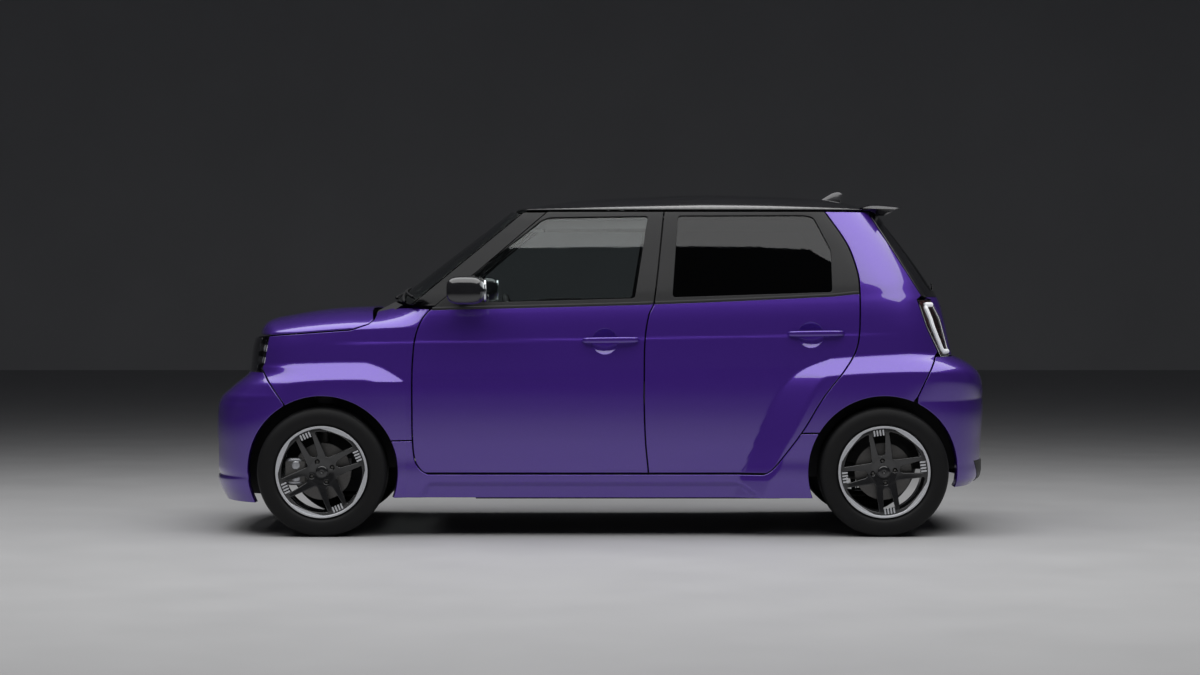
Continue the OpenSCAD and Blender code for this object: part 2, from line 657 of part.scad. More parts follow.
function roof_front_x(s) = xs(roof_front_share) + roof_front_bow * s * s;
function roof_rear_x(s) = xs(roof_rear_share);
module tail_hinge() {
    translate([xs(roof_rear_share) + tail_gap / 2, 0, zs(tail_hinge_share)]) children();
}
function roof_point(s, u, depth) = let (
    x = mix(roof_front_x(s) + depth / 2, roof_rear_x(s) - depth / 2, u),
    e = zs(door_top_share) + shut_gap,
    c = max(e + shut_gap, zs(curve(share_x(x), roof_crown_shares))))
    [x, s * (side_half(x, e) - depth * 2), mix(e, c, crown(s, roof_round_power, roof_rise_power)) - depth];
module roof() {
    across = [-1, -0.985, -0.95, -0.88, -0.75, -0.55, -0.3, 0, 0.3, 0.55, 0.75, 0.88, 0.95, 0.985, 1];
    along = [0, 0.04, 0.10, 0.20, 0.32, 0.45, 0.58, 0.70, 0.82, 0.92, 1];
    fin_x = xs(fin_share);
    fin_z = zs(curve(fin_share, roof_crown_shares));
    color(gloss_black) union() {
        grid_solid(
            [for (s = across) [for (u = along) roof_point(s, u, 0)]],
            [for (s = across) [for (u = along) roof_point(s, u, skin_depth)]]
        );
        for (side = [-1, 1]) translate([0, side * roof_arm, 0]) {
            block([xs(roof_block_shares[0]), xs(roof_block_shares[1])], [-hinge_length / 2, hinge_length / 2],
                [zs(frame_shares[1][5]) + hinge_play, zs(roof_block_shares[2])]);
            tail_hinge() rotate([90, 0, 0]) cylinder(r = tail_gap / 2 - hinge_play, h = hinge_length, center = true);
            tail_hinge() translate([-tail_gap * 1.5, -hinge_length / 2, -skin_depth / 3])
                cube([tail_gap * 1.5, hinge_length, skin_depth / 3]);
        }
        hull() {
            translate([fin_x - fin_length / 2, -fin_width / 2, fin_z - skin_depth / 2])
                cube([fin_length, fin_width, skin_depth / 4]);
            translate([fin_x + fin_length / 4, -fin_tip / 2, fin_z + fin_height - shut_gap])
                cube([fin_length / 4, fin_tip, shut_gap]);
        }
    }
}

// Windscreen: rows up, columns towards the left side
function screen_point(v, s, depth) = let (
    z_edge = mix(zs(screen_low_share), zs(screen_high_share), v),
    x_edge = line_x(pillar_front_shares, z_edge) - half_gap - glass_depth / 2,
    x_mid = mix(xs(screen_foot_share), xs(screen_head_share), v),
    half = side_half(x_edge, z_edge) - screen_inset)
    [mix(x_mid, x_edge, pow(abs(s), 2.2)) + depth, -s * half,
     mix(mix(zs(screen_foot_z_share), zs(screen_head_z_share), v), z_edge, s * s) - depth / 2];
module windscreen() {
    across = [-1, -0.9, -0.75, -0.5, -0.25, 0, 0.25, 0.5, 0.75, 0.9, 1];
    color(glass_tint) grid_solid(
        [for (v = [0 : 0.2 : 1]) [for (s = across) screen_point(v, s, 0)]],
        [for (v = [0 : 0.2 : 1]) [for (s = across) screen_point(v, s, glass_depth)]]
    );
}

// Ends of the car in plan: angle 0 points to the end, 90 along the side
function end_angle(d, power, depth) =
    acos(pow(clamp((corner_reach - d) / (corner_reach - depth)), power / 2));
function front_point(z, angle, depth) = let (
    p = corner_power(z),
    x = nose_x(z) + corner_reach - (corner_reach - depth) * pow(cos(abs(angle)), 2 / p))
    [x, -sign(angle) * (plain_half(x, z) - depth) * pow(sin(abs(angle)), 2 / p), z];
function rear_point(z, angle, depth) = let (
    p = corner_power(z),
    x = tail_x(z) - corner_reach + (corner_reach - depth) * pow(cos(abs(angle)), 2 / p))
    [x, sign(angle) * (plain_half(x, z) - depth) * pow(sin(abs(angle)), 2 / p), z];
function front_limit(z, table, depth) = end_angle(line_x(table, z) - half_gap - nose_x(z), corner_power(z), depth);
function rear_limit(z, table, depth) = end_angle(tail_x(z) - line_x(table, z) - half_gap, corner_power(z), depth);

// Spread of columns over an end, closer together at the corners
end_spread = [-1, -0.93, -0.86, -0.78, -0.68, -0.56, -0.44, -0.30, -0.15, 0,
    0.15, 0.30, 0.44, 0.56, 0.68, 0.78, 0.86, 0.93, 1];
front_row_shares = [0.118, 0.145, 0.165, 0.20, 0.26, 0.33, 0.37, 0.40, 0.417, 0.44, 0.462];
rear_row_shares = [0.16, 0.185, 0.21, 0.274, 0.365, 0.41, 0.439, 0.46, 0.475, 0.49, 0.505, 0.5198];
front_bumper_side_shares = [[0.090, -0.060], [0.385, -0.067], [0.480, -0.110]];
module front_bumper() {
    heights = concat([share_z(lip_clearance)], front_row_shares, [bumper_top_share]);
    color(paint) difference() {
        grid_solid(
            [for (h = heights) let (z = zs(h)) [for (k = end_spread)
                front_point(z, k * front_limit(z, front_bumper_side_shares, 0), 0)]],
            [for (h = heights) let (z = zs(h)) [for (k = end_spread)
                front_point(z, k * front_limit(z, front_bumper_side_shares, skin_depth), skin_depth)]]
        );
        both() side_prism(arch_points(front_axle_x, arch_radius));
        translate([-half_length - cut_over, 0, 0]) rotate([90, 0, 90]) linear_extrude(front_overhang)
            polygon([for (p = intake_shares) [p[0] * half_width, zs(p[1])]]);
    }
    color(paint) both() block([skin_depth / 2 - half_length, xs(floor_shares[5][0]) - hinge_play],
        bumper_arm_y, [zs(front_arm_shares[0]), zs(front_arm_shares[1])]);
}
rear_bumper_side_shares = [[0.130, 1.050], [0.405, 1.059], [0.523, 1.095]];
module rear_bumper() {
    heights = concat([share_z(tail_clearance)], rear_row_shares);
    color(paint) difference() {
        grid_solid(
            [for (h = heights) let (z = zs(h)) [for (k = end_spread)
                rear_point(z, k * rear_limit(z, rear_bumper_side_shares, 0), 0)]],
            [for (h = heights) let (z = zs(h)) [for (k = end_spread)
                rear_point(z, k * rear_limit(z, rear_bumper_side_shares, skin_depth), skin_depth)]]
        );
        both() side_prism(arch_points(rear_axle_x, arch_radius));
    }
    color(paint) both() block([xs(floor_shares[6][1]) + hinge_play, half_length - skin_depth / 2],
        bumper_arm_y, [zs(rear_arm_shares[0]), zs(rear_arm_shares[1])]);
}

lamp_row_shares = [0.4742, 0.50, 0.525, 0.55, 0.5755];
module front_panel() {
    color(gloss_black) grid_solid(
        [for (h = lamp_row_shares) let (z = zs(h)) [for (k = [-1 : 0.125 : 1]) front_point(z, k * lamp_angle, 0)]],
        [for (h = lamp_row_shares) let (z = zs(h)) [for (k = [-1 : 0.125 : 1]) front_point(z, k * lamp_angle, skin_depth)]]
    );
}
module headlamps() {
    color(lamp_clear) both() grid_solid(
        [for (h = lamp_row_shares) let (z = zs(h)) [for (k = [0 : 0.125 : 1])
            front_point(z, mix(lamp_angle + lamp_seam, front_limit(z, fender_front_shares, 0), k), 0)]],
        [for (h = lamp_row_shares) let (z = zs(h)) [for (k = [0 : 0.125 : 1])
            front_point(z, mix(lamp_angle + lamp_seam, front_limit(z, fender_front_shares, lamp_depth), k), lamp_depth)]]
    );
}
module tail_lamps() {
    heights = concat([lamp_low_share], tail_lamp_shares, [lamp_high_share]);
    color(lamp_clear) both() grid_solid(
        side_grid(lamp_front_shares, lamp_rear_shares, heights, 6, [for (h = heights) 0]),
        side_grid(lamp_front_shares, lamp_rear_shares, heights, 6, [for (h = heights) skin_depth], skin_depth)
    );
}

// Tailgate between the quarters, above the rear bumper
tail_edge_shares = [
    [0.518, 1.129], [0.534, 1.126], [0.629, 1.111], [0.681, 1.092], [0.690, 1.090], [0.700, 1.070], [0.945, 0.979]
];
tail_row_shares = [0.5250, 0.534, 0.565, 0.600, 0.635, 0.665, 0.684, 0.702, 0.74, 0.79, 0.84, 0.89, 0.936];
module tailgate() {
    color(paint) difference() {
        grid_solid(
            [for (h = tail_row_shares) let (z = zs(h)) [for (k = end_spread)
                rear_point(z, k * rear_limit(z + half_gap, tail_edge_shares, 0), 0)]],
            [for (h = tail_row_shares) let (z = zs(h)) [for (k = end_spread)
                rear_point(z, k * rear_limit(z + half_gap, tail_edge_shares, frame_depth), frame_depth)]]
        );
        tail_window_prism(0);
    }
}
module tail_window_prism(shrink) {
    rotate([90, 0, 90]) linear_extrude(car_length) offset(delta = -shrink)
        polygon([for (p = tail_window_shares) [p[0] * half_width, zs(p[1])]]);
}
rear_glass_shares = [0.70, 0.76, 0.82, 0.88, 0.93];
rear_glass_angle = 60;
module rear_glass() {
    color(glass_tint) intersection() {
        grid_solid(
            [for (h = rear_glass_shares) let (z = zs(h)) [for (k = end_spread)
                rear_point(z, k * rear_glass_angle, glass_drop)]],
            [for (h = rear_glass_shares) let (z = zs(h)) [for (k = end_spread)
                rear_point(z, k * rear_glass_angle, glass_drop + glass_depth)]]
        );
        tail_window_prism(seat_play);
    }
}
function spoiler_point(s, t, h) =
    [spoiler_front_x + t * (spoiler_reach - spoiler_bow * s * s), s * spoiler_half, zs(h)];
module spoiler() {
    across = [-1, -0.96, -0.85, -0.6, -0.3, 0, 0.3, 0.6, 0.85, 0.96, 1];
    places = [0, 0.20, 0.34, 0.56, 0.97];
    color(gloss_black) grid_solid(
        [for (s = across) [for (t = places) spoiler_point(s, t, lookup(t, spoiler_top_shares))]],
        [for (s = across) [for (t = places) spoiler_point(s, t, lookup(t, spoiler_low_shares))]]
    );
}

// Block between two corners
module block(x, y, z) {
    translate([x[0], y[0], z[0]]) cube([x[1] - x[0], y[1] - y[0], z[1] - z[0]]);
}

// Blocks whose ends are given as shares, columns: x, y, z from and to
module share_block(b) {
    block([xs(b[0]), xs(b[1])], [b[2] * half_width, b[3] * half_width], [zs(b[4]), zs(b[5])]);
}

floor_shares = [
    [0.181, 0.848, -0.763, 0.763, 0.155, 0.169],
    [0.181, 0.190, -0.680, 0.680, 0.155, 0.613],
    [0.845, 1.115, -0.600, 0.600, 0.335, 0.349],
    [0.845, 0.853, -0.600, 0.600, 0.155, 0.349],
    [1.108, 1.115, -0.600, 0.600, 0.335, 0.500],
    [-0.160, -0.1445, -0.640, 0.640, 0.245, 0.290],
    [1.150, 1.165, -0.620, 0.620, 0.284, 0.330]
];
side_floor_shares = [
    [0.160, 0.855, -0.796, -0.712, 0.129, 0.213],
    [-0.150, 0.185, -0.458, -0.382, 0.213, 0.277],
    [-0.060, 0.066, -0.522, -0.382, 0.264, 0.277],
    [-0.060, 0.066, -0.522, -0.509, 0.264, 0.516],
    [-0.022, 0.024, -0.660, -0.515, 0.503, 0.516],
    [1.060, 1.160, -0.510, -0.420, 0.284, 0.336],
    [0.955, 0.985, -0.6595, -0.590, 0.335, 0.800]
];
module floor_pan() {
    color(steel_grey) union() {
        for (b = floor_shares) share_block(b);
        both() for (b = side_floor_shares) share_block(b);
        both() for (s = jack_shares) translate([xs(s), -jack_offset, zs(side_floor_shares[0][4]) - jack_height])
            cylinder(r = jack_radius, h = jack_height * 2);
    }
}

pillar_row_shares = [0.6695, 0.70, 0.76, 0.82, 0.88, 0.92, 0.938];
pillar_step_share = 0.9;
rail_front_shares = [[0, 0.345], [1, 0.345]];
rail_rear_shares = [[0, 0.955], [1, 0.955]];
rail_row_shares = [0.893, 0.905, 0.917];
post_front_shares = [[0, 0.552], [0.66, 0.560], [0.94, 0.582]];
post_rear_shares = [[0, 0.600], [0.66, 0.606], [0.94, 0.632]];
post_row_shares = [0.213, 0.30, 0.50, 0.64, 0.695, 0.72, 0.80, 0.912];
post_step_share = 0.70;
frame_shares = [
    [0.175, 0.200, -0.690, 0.690, 0.613, 0.645],
    [0.345, 0.388, -0.680, 0.680, 0.893, 0.915],
    [0.925, 0.950, -0.640, 0.640, 0.893, 0.915]
];
foot_shares = [0.171, 0.207, -0.789, -0.687, 0.213, 0.690];
module cabin_frame() {
    post_out = [for (h = post_row_shares) (h < post_step_share ? door_depth : frame_depth) + post_gap];
    color(gloss_black) union() {
        both() {
            grid_solid(
                side_grid(pillar_front_shares, door_front_shares, pillar_row_shares, 3, [for (h = pillar_row_shares) 0]),
                side_grid(pillar_front_shares, door_front_shares, pillar_row_shares, 3,
                    [for (h = pillar_row_shares) h > pillar_step_share ? frame_depth : pillar_depth], half_gap)
            );
            share_block(foot_shares);
            grid_solid(
                side_grid(rail_front_shares, rail_rear_shares, rail_row_shares, 9,
                    [for (h = rail_row_shares) frame_depth + post_gap]),
                side_grid(rail_front_shares, rail_rear_shares, rail_row_shares, 9,
                    [for (h = rail_row_shares) pillar_depth])
            );
            grid_solid(
                side_grid(post_front_shares, post_rear_shares, post_row_shares, 2, post_out),
                side_grid(post_front_shares, post_rear_shares, post_row_shares, 2, [for (d = post_out) d + post_depth])
            );
        }
        for (b = frame_shares) share_block(b);
        both() door_pin(door_split_shares, 0, door_depth + post_gap + post_depth / 2);
    }
}

// Cover between the hood and the windscreen
function cowl_point(s, u, depth) = let (
    foot = screen_point(0, s * cowl_width_share, 0),
    x = mix(xs(hood_rear_share) + cowl_bow * s * s + shut_gap * 3, foot[0] - shut_gap, u),
    z = mix(zs(cowl_low_share) - cowl_drop * s * s, foot[2] - shut_gap, u))
    [x, -foot[1], z - depth];
module cowl() {
    across = [-1, -0.8, -0.55, -0.25, 0, 0.25, 0.55, 0.8, 1];
    color(trim_black) difference() {
        grid_solid(
            [for (s = across) [for (u = [0, 0.5, 1]) cowl_point(s, u, 0)]],
            [for (s = across) [for (u = [0, 0.5, 1]) cowl_point(s, u, skin_depth)]]
        );
        both() hood_hinge() translate([-hood_arm, -hood_eye / 2 - shut_gap, 0])
            cube([hood_arm + hood_pin, hood_eye + shut_gap * 2, hood_rise * 2]);
    }
    color(trim_black) share_block(cowl_tie_shares);
    color(trim_black) both() hood_hinge() {
        rotate([90, 0, 0]) cylinder(r = hood_pin, h = hood_eye * 2, center = true);
        translate([-hood_pin, -hood_eye * 2, -hood_pin]) cube([hood_pin * 2, hood_eye, hood_eye * 3]);
    }
}
// Hinge of the hood below the cowl's front corners
module hood_hinge() {
    translate([xs(hood_rear_share) + hood_hinge_setback, -hood_hinge_half, zs(hood_hinge_high_share)]) children();
}

// Pieces with one outline across the car, columns: place, height
module across_prism(points, from, to) {
    translate([0, to, 0]) rotate([90, 0, 0]) linear_extrude(to - from)
        polygon([for (p = points) [xs(p[0]), zs(p[1])]]);
}
dash_shares = [
    [0.2001, 0.560], [0.225, 0.400], [0.255, 0.400], [0.262, 0.520], [0.298, 0.545], [0.302, 0.590],
    [0.285, 0.612], [0.230, 0.628], [0.2001, 0.628]
];
module dashboard() {
    color(trim_black) union() {
        across_prism(dash_shares, -dash_half, dash_half);
        steer_place() cylinder(r = column_radius, h = column_length, center = true);
    }
}
cushion_shares = [[0.385, 0.300], [0.392, 0.360], [0.410, 0.372], [0.560, 0.340], [0.580, 0.300], [0.575, 0.240], [0.395, 0.240]];
back_shares = [[0.560, 0.330], [0.615, 0.690], [0.628, 0.715], [0.655, 0.700], [0.652, 0.640], [0.605, 0.320], [0.580, 0.300]];
head_shares = [[0.630, 0.725], [0.637, 0.815], [0.650, 0.825], [0.668, 0.815], [0.664, 0.725], [0.648, 0.690]];
riser_shares = [[0.415, 0.169], [0.415, 0.250], [0.560, 0.250], [0.560, 0.169]];
module front_seats() {
    half = seat_width / 2;
    color(fabric_grey) for (side = [-1, 1]) translate([0, side * seat_offset, 0]) union() {
        across_prism(cushion_shares, -half, half);
        across_prism(back_shares, -half, half);
        across_prism(head_shares, -half / 2, half / 2);
        across_prism(riser_shares, -half * 0.8, half * 0.8);
    }
}
bench_shares = [
    [0.722, 0.169], [0.715, 0.330], [0.725, 0.352], [0.830, 0.328], [0.903, 0.640], [0.918, 0.660],
    [0.935, 0.645], [0.905, 0.3492], [0.8448, 0.3492], [0.8448, 0.169]
];
bench_head_shares = [[0.910, 0.630], [0.918, 0.715], [0.930, 0.724], [0.944, 0.715], [0.942, 0.630]];
module rear_seat() {
    color(fabric_grey) union() {
        across_prism(bench_shares, -bench_half, bench_half);
        for (side = [-1, 1]) translate([0, side * seat_offset, 0])
            across_prism(bench_head_shares, -seat_width / 4, seat_width / 4);
    }
}

battery_shares = [0.270, 0.820, -0.636, 0.636, 0.100, 0.155];
motor_shares = [
    [-0.100, 0.110, -0.350, 0.350, 0.200, 0.330],
    [-0.080, 0.060, -0.300, 0.300, 0.330, 0.470],
    [0.000, 0.050, -0.200, 0.200, 0.1482, 0.200]
];
module battery_pack() {
    color(steel_grey) share_block(battery_shares);
}
module drive_motor() {
    color(alloy_grey) union() for (b = motor_shares) share_block(b);
}
arm_shares = [
    [-0.035, 0.070, -0.440, 0.440, 0.115, 0.148],
    [-0.010, 0.010, -0.780, -0.430, 0.108, 0.120],
    [0.040, 0.060, -0.430, -0.400, 0.140, 0.2128]
];
ball_drop = (zs(strut_low_share) - zs(arm_shares[1][5]) - ball_radius - hinge_play) / cos(strut_lean);
module front_suspension() {
    color(trim_black) union() {
        share_block(arm_shares[0]);
        both() share_block(arm_shares[1]);
        both() share_block(arm_shares[2]);
    }
}
axle_shares = [
    [0.8532, 1.012, -0.640, -0.560, 0.165, 0.205],
    [0.985, 1.015, -0.790, -0.560, 0.165, 0.212],
    [0.985, 1.020, -0.600, -0.520, 0.205, 0.335]
];
beam_shares = [0.895, 0.925, -0.600, 0.600, 0.165, 0.205];
module rear_axle() {
    color(trim_black) union() {
        share_block(beam_shares);
        both() {
            for (b = axle_shares) share_block(b);
            rear_hub() spindle();
        }
    }
}
module wheel_liners() {
    color(trim_black) both() {
        difference() {
            liner(front_axle_x, arch_radius + liner_gap, liner_front_wall, liner_edge);
            strut_place() cylinder(r = spring_radius + shut_gap * 2, h = strut_length * 2);
        }
        liner(rear_axle_x, arch_radius + shut_gap, liner_rear_wall, liner_edge);
    }
}
module liner(axle_x, radius, wall, edge) {
    translate([axle_x, -wall, tyre_radius]) rotate([90, 0, 0]) difference() {
        rotate([0, 0, -8]) rotate_extrude(angle = 196) polygon([
            [0, 0], [radius + liner_depth, 0], [radius + liner_depth, edge - wall], [radius, edge - wall],
            [radius, liner_depth], [0, liner_depth]
        ]);
        cylinder(r = liner_hole, h = car_width, center = true);
        translate([-radius * 2, -radius * 2, -car_width / 2]) cube([radius * 4, radius * 2, car_width]);
    }
}

// Mirrors on the front doors
module mirror_left() {
    color(gloss_black) union() {
        hull() for (p = mirror_shares) translate([xs(p[0]), p[1] * half_width, zs(p[2])])
            sphere(r = mirror_round, $fn = 16);
        hull() for (p = mirror_foot_shares) translate([xs(p[0]), p[1] * half_width, zs(p[2])])
            sphere(r = mirror_round / 2, $fn = 12);
    }
}
module mirror_right() {
    mirror([0, 1, 0]) mirror_left();
}

// Wheels stand on the local Z axis with the outer side up
module front_hub() {
    translate([front_axle_x, -half_track, tyre_radius]) rotate([90, 0, 0]) children();
}
module rear_hub() {
    translate([rear_axle_x, -half_track, tyre_radius]) rotate([90, 0, 0]) children();
}
// Columns: radius as a share of the tyre's, half width as a share of half the tyre's
tyre_shares = [
    [0.662, 0.78], [0.705, 0.82], [0.760, 0.96], [0.830, 1.00], [0.900, 0.97], [0.955, 0.90], [0.985, 0.78], [1.000, 0.62]
];
bead_radius = tyre_shares[0][0] * tyre_radius;
module tyre() {
    half = [for (p = tyre_shares) [p[0] * tyre_radius, p[1] * tyre_width / 2]];
    last = len(half) - 1;
    rotate_extrude() polygon(concat(half, [for (i = [0 : last]) [half[last - i][0], -half[last - i][1]]]));
}
module wheel() {
    flange = tyre_width * 0.47;
    seat = tyre_width * 0.42;
    difference() {
        union() {
            rotate_extrude() polygon([
                [barrel_radius, -flange], [rim_radius, -flange], [rim_radius, -seat], [bead_radius - seat_play, -seat * 0.95],
                [bead_radius - seat_play, seat * 0.95], [rim_radius, seat], [rim_radius, flange],
                [barrel_radius + rim_lip, flange], [barrel_radius, flange * 0.8]
            ]);
            for (k = [0 : 3]) rotate([0, 0, 90 * k]) for (side = [-1, 1]) translate([0, 0, spoke_low])
                linear_extrude(spoke_high - spoke_low) polygon([
                    [0, side * spoke_half * 0.4], [0, side * (spoke_offset + spoke_half)],
                    [barrel_radius + rim_lip, side * (spoke_offset + spoke_half)],
                    [barrel_radius + rim_lip, side * (spoke_offset - spoke_half)],
                    [nut_circle * 1.5, side * (spoke_offset - spoke_half)], [nut_circle, side * spoke_half * 0.4]
                ]);
            translate([0, 0, disc_high]) cylinder(r = hub_radius, h = spoke_high - disc_high);
            translate([0, 0, disc_low]) cylinder(r = disc_radius, h = disc_high - disc_low);
        }
        for (k = [0 : 3]) rotate([0, 0, 90 * k]) translate([nut_circle, 0, spoke_low])
            cylinder(r = nut_radius, h = spoke_high);
        translate([0, 0, -spoke_low]) cylinder(r = spindle_radius + spindle_play, h = disc_high + spoke_low);
    }
}
module spindle() {
    translate([0, 0, -tyre_width * 0.4]) cylinder(r = spindle_radius, h = tyre_width * 0.4 + disc_low);
    translate([0, 0, -tyre_width * 0.4]) cylinder(r = carrier_radius, h = tyre_width * 0.4 + disc_low - shut_gap);
}
module caliper() {
    difference() {
        translate([-caliper_reach, -caliper_half, disc_low - caliper_side])
            cube([caliper_reach - caliper_inner, caliper_half * 2, disc_high - disc_low + caliper_side * 1.6]);
        translate([0, 0, disc_low - shut_gap]) cylinder(r = disc_radius + shut_gap, h = disc_high - disc_low + shut_gap * 2);
    }
    translate([-caliper_reach + caliper_side, -caliper_half, disc_low - caliper_side])
        cube([caliper_reach, caliper_half * 2, caliper_side - shut_gap]);
}
module knuckle_left() {
    color(steel_grey) union() {
        front_hub() union() {
            spindle();
            caliper();
        }
        block([xs(bracket_shares[0]), xs(bracket_shares[1])], [-bracket_outer, -bracket_inner],
            [zs(bracket_shares[2]), zs(bracket_shares[3])]);
        strut_place() translate([0, 0, -ball_drop]) cylinder(r = ball_radius * 0.7, h = ball_drop * 2);
        strut_place() translate([0, 0, -ball_drop]) sphere(r = ball_radius);
        strut_place() cylinder(r = strut_radius, h = strut_length);
        strut_place() translate([0, 0, strut_length * spring_low_share])
            cylinder(r = spring_radius, h = strut_length * spring_length_share);
    }
}
module strut_place() {
    translate([front_axle_x, -strut_foot, zs(strut_low_share)]) rotate([-strut_lean, 0, 0]) children();
}
module knuckle_right() {
    mirror([0, 1, 0]) knuckle_left();
}
module tyre_front_left() {
    color(rubber_black) front_hub() tyre();
}
module tyre_front_right() {
    mirror([0, 1, 0]) tyre_front_left();
}
module tyre_rear_left() {
    color(rubber_black) rear_hub() tyre();
}
module tyre_rear_right() {
    mirror([0, 1, 0]) tyre_rear_left();
}
module wheel_front_left() {
    color(gloss_black) front_hub() rotate([0, 0, front_turn]) wheel();
}
module wheel_front_right() {
    mirror([0, 1, 0]) wheel_front_left();
}
module wheel_rear_left() {
    color(gloss_black) rear_hub() rotate([0, 0, rear_turn]) wheel();
}
module wheel_rear_right() {
    mirror([0, 1, 0]) wheel_rear_left();
}

// Steering wheel on the right, square to its column
module steer_place() {
    translate([xs(steer_share), seat_offset, zs(steer_high_share)]) rotate([0, steer_lean, 0]) children();
}
module steering_wheel() {
    color(trim_black) steer_place() difference() {
        union() {
            translate([0, 0, column_length / 2]) rotate_extrude() translate([steer_radius, 0]) circle(r = steer_grip);
            translate([0, 0, column_length / 2 - steer_grip]) cylinder(r = steer_radius * 0.4, h = steer_grip * 2);
            for (a = [0, 120, 240]) rotate([0, 0, a + 180]) translate([0, -steer_grip, column_length / 2 - steer_grip / 2])
                cube([steer_radius, steer_grip * 2, steer_grip]);
        }
        cylinder(r = column_radius + spindle_play, h = column_length + spindle_play, center = true);
    }
}

// Drawing
floor_pan();
side_skirts();
fenders();
quarters();
cabin_frame();
roof();
windscreen();
front_bumper();
rear_bumper();
front_panel();
headlamps();
tail_lamps();
cowl();
dashboard();
front_seats();
rear_seat();
battery_pack();
drive_motor();
front_suspension();
rear_axle();
wheel_liners();
door_front_left();
door_front_right();
door_rear_left();
door_rear_right();
glass_front_left();
glass_front_right();
glass_rear_left();
glass_rear_right();
mirror_left();
mirror_right();
tailgate();
rear_glass();
spoiler();
hood();
knuckle_left();
knuckle_right();
tyre_front_left();
tyre_front_right();
tyre_rear_left();
tyre_rear_right();
wheel_front_left();
wheel_front_right();
wheel_rear_left();
wheel_rear_right();
steering_wheel();
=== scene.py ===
"""Looks of the small electric hatchback: panels, glass, wheels, lamps, cabin and studio.

Lengths inside the script are in millimetres and turn into metres when a mesh is made.
Front is -X, left is -Y, up is +Z.
"""
import json
import math

import bpy
import numpy as np
from mathutils import Matrix, Vector
from mathutils.geometry import delaunay_2d_cdt


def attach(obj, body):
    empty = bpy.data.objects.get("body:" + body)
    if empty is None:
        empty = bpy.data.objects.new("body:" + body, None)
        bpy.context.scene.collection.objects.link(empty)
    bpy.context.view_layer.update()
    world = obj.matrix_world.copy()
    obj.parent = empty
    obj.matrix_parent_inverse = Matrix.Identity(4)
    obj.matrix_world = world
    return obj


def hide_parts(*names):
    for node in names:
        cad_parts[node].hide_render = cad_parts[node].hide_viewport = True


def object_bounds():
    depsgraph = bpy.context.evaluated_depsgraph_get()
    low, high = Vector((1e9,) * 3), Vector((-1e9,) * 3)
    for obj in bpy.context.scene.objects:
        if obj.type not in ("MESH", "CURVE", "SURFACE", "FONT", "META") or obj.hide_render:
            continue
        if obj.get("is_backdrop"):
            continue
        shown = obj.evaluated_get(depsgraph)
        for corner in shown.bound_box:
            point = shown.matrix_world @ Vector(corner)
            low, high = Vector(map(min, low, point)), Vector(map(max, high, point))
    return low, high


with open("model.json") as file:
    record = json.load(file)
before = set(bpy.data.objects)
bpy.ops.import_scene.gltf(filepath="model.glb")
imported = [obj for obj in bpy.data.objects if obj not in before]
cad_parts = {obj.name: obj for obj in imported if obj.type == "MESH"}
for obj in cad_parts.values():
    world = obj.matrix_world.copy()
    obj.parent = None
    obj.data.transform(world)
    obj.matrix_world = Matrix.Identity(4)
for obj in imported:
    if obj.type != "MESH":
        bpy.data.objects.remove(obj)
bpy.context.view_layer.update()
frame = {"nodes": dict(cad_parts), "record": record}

# Main sizes of the car
HALF_LENGTH = 1780.0
HALF_WIDTH = 786.0
ROOF = 1550.0
WHEELBASE = 2520.0
FRONT_OVERHANG = 533.0
FRONT_AXLE = FRONT_OVERHANG - HALF_LENGTH
REAR_AXLE = FRONT_AXLE + WHEELBASE
REAR_OVERHANG = HALF_LENGTH - REAR_AXLE
FLARE_DEPTH = 48.0
FLARE_LEDGE = 80.0
FLARE_RUN = 150.0
CORNER = 490.0
GAP = 6.0
HALF_GAP = GAP / 2
TYRE = 292.0
TYRE_WIDTH = 184.0
HALF_TRACK = 672.0
ARCH = 341.0

# Tables of the body in shares of its main sizes
SECTION = [
    (0.097, 0.891), (0.155, 0.905), (0.219, 0.920), (0.290, 0.933), (0.400, 0.939), (0.497, 0.939),
    (0.568, 0.935), (0.613, 0.926), (0.652, 0.912), (0.679, 0.898), (0.710, 0.882), (0.806, 0.824),
    (0.903, 0.765), (0.944, 0.737), (0.981, 0.702)]
NOSE = [
    (0.095, 0.080), (0.145, 0.010), (0.260, 0.000), (0.370, 0.010), (0.400, 0.050), (0.417, 0.110),
    (0.440, 0.190), (0.462, 0.275), (0.478, 0.305), (0.541, 0.325), (0.568, 0.345), (0.582, 0.360)]
TAIL = [
    (0.138, 0.110), (0.160, 0.035), (0.210, 0.022), (0.274, 0.015), (0.365, 0.000), (0.439, 0.022),
    (0.475, 0.075), (0.505, 0.190), (0.520, 0.290), (0.534, 0.312), (0.629, 0.375), (0.696, 0.440),
    (0.815, 0.676), (0.930, 0.950), (0.968, 1.065)]
FRONT_FLARE_TOP = [
    (-0.156, 0.494), (-0.108, 0.497), (0.073, 0.505), (0.103, 0.492), (0.122, 0.476), (0.146, 0.452)]
REAR_FLARE_TOP = [
    (0.748, 0.190), (0.779, 0.302), (0.806, 0.394), (0.831, 0.455), (0.857, 0.485), (0.892, 0.512),
    (0.911, 0.517), (0.990, 0.525), (1.091, 0.530), (1.169, 0.533)]
REAR_FLARE_EDGE = [
    (0.116, 0.729), (0.190, 0.748), (0.302, 0.779), (0.394, 0.806), (0.455, 0.831), (0.485, 0.857),
    (0.516, 0.908)]
HOOD_CROWN = [
    (-0.136, 0.584), (-0.117, 0.621), (-0.069, 0.641), (-0.013, 0.655), (0.041, 0.662), (0.078, 0.664),
    (0.117, 0.674)]
HOOD_EDGE = [(-0.108, 0.580), (0.052, 0.599), (0.200, 0.604)]
FENDER_TOP = [
    (-0.108, 0.580), (0.052, 0.599), (0.082, 0.616), (0.102, 0.645), (0.118, 0.661), (0.156, 0.664),
    (0.194, 0.659)]
